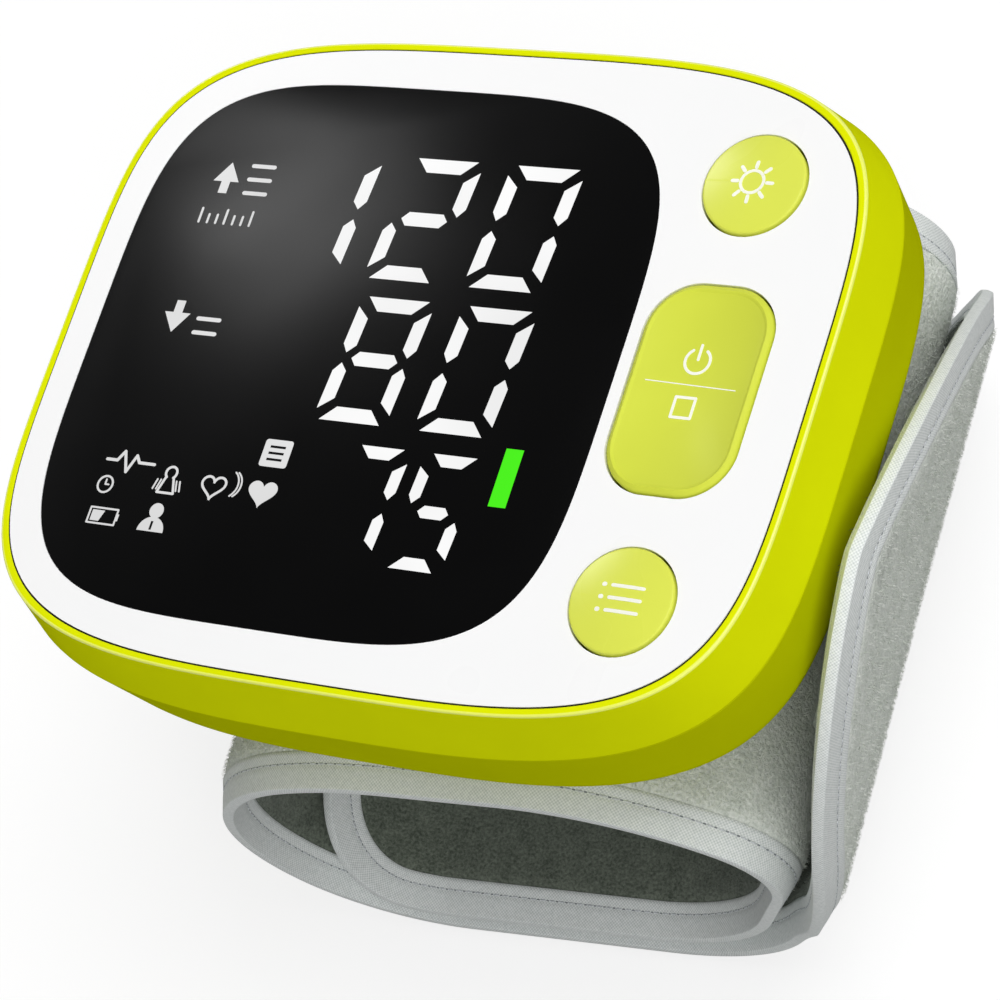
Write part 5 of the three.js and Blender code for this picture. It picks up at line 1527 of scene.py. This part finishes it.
curler_end = HINGE_LENGTH - LINER_MARGIN
curler = band_slab(
    "cuff_curler", LINER_MARGIN, curler_end, CURLER_HALF_WIDTH, CURLER_OUTER, CURLER_OUTER - CURLER_THICKNESS,
    SHEET_BEVEL, round(curler_end / ROW_STEP), CAD_LOOKS["curler_sheet"],
)
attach(curler, "monitor")
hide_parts("curler_sheet")
bladder_start = BOTTOM_LENGTH + LINER_MARGIN
bladder_end = HINGE_LENGTH - CORNER_RADIUS * CORNER_TURN - LINER_MARGIN
bladder_top = CURLER_OUTER - CURLER_THICKNESS - FIT_GAP
bladder = band_slab(
    "cuff_bladder", bladder_start, bladder_end, BLADDER_HALF_WIDTH,
    bladder_top, bladder_top - BLADDER_THICKNESS, SHEET_BEVEL,
    round((bladder_end - bladder_start) / ROW_STEP), CAD_LOOKS["air_bladder"],
)
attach(bladder, "monitor")
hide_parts("air_bladder")


# Camera

def set_camera():
    data = bpy.data.cameras.new("camera")
    data.lens = LENS
    data.sensor_width = SENSOR
    data.clip_start, data.clip_end = CLIP
    camera = placed("camera", data)
    right, down, forward = Vector(CAMERA_RIGHT), Vector(CAMERA_DOWN), Vector(CAMERA_FORWARD)
    turn = Matrix((right, -down, -forward)).transposed().to_4x4()
    place = Vector(CAMERA_FROM_FACE) + Vector((0, 0, FACE_Z))
    camera.matrix_world = Matrix.Translation(place) @ turn
    bpy.context.scene.camera = camera


set_camera()


# Floor, light and background

FLOOR_HALF = 3.0
FLOOR_TONE = 0.32
FLOOR_GLOW = 0.74
WORLD_LEVEL = 0.32
LAMP_TARGET = (0, 0, 0.04)
LAMPS = {
    "key": dict(place=(0.5, 0.36, 1.3), size=0.9, power=12.3),
    "fill": dict(place=(0.62, -0.55, 0.75), size=0.7, power=4.0),
    "front": dict(place=(-0.35, -1.0, 0.55), size=0.8, power=0.35),
    "sheen": dict(place=(-0.96, 0.65, 0.88), size=0.34, power=6.8, diffuse=False),
}


def floor():
    points = [(x * FLOOR_HALF, y * FLOOR_HALF, 0.0) for x, y in CORNERS]
    material = node_material(
        "floor_pale", (FLOOR_TONE, FLOOR_TONE, FLOOR_TONE), 0.9,
        Specular_IOR_Level=0.0, Emission_Color=(1, 1, 1, 1),
    )
    path = add(material, "ShaderNodeLightPath").outputs
    seen = value_of(material, "MAXIMUM", path["Is Camera Ray"], path["Is Glossy Ray"])
    level = value_of(material, "MULTIPLY", seen, FLOOR_GLOW)
    link(material, level, shader_of(material).inputs["Emission Strength"])
    piece = made("floor", points, [(0, 1, 2, 3)], material)


def lamp(name, place, size, power, diffuse=True):
    data = bpy.data.lights.new(name, "AREA")
    data.size = size
    data.energy = power
    piece = placed(name, data)
    piece.location = place
    piece.rotation_mode = "QUATERNION"
    piece.rotation_quaternion = (Vector(LAMP_TARGET) - Vector(place)).to_track_quat("-Z", "Y")
    piece.visible_diffuse = diffuse


def world():
    """Soft light all round, and plain white where the camera or a reflection sees it."""
    sky = bpy.data.worlds.new("world")
    bpy.context.scene.world = sky
    sky.use_nodes = True
    sky.node_tree.nodes.clear()
    path = add(sky, "ShaderNodeLightPath").outputs
    mirrored = value_of(sky, "MAXIMUM", path["Is Glossy Ray"], path["Is Transmission Ray"])
    mix = add(sky, "ShaderNodeMixShader")
    link(sky, value_of(sky, "MAXIMUM", path["Is Camera Ray"], mirrored), mix.inputs["Fac"])
    for place, level in ((1, WORLD_LEVEL), (2, 1.0)):
        light = add(sky, "ShaderNodeBackground", Strength=level)
        link(sky, light.outputs["Background"], mix.inputs[place])
    link(sky, mix.outputs["Shader"], add(sky, "ShaderNodeOutputWorld").inputs["Surface"])


floor()
for name, settings in LAMPS.items():
    lamp(name, **settings)
world()
bpy.context.scene.view_settings.view_transform = "Standard"
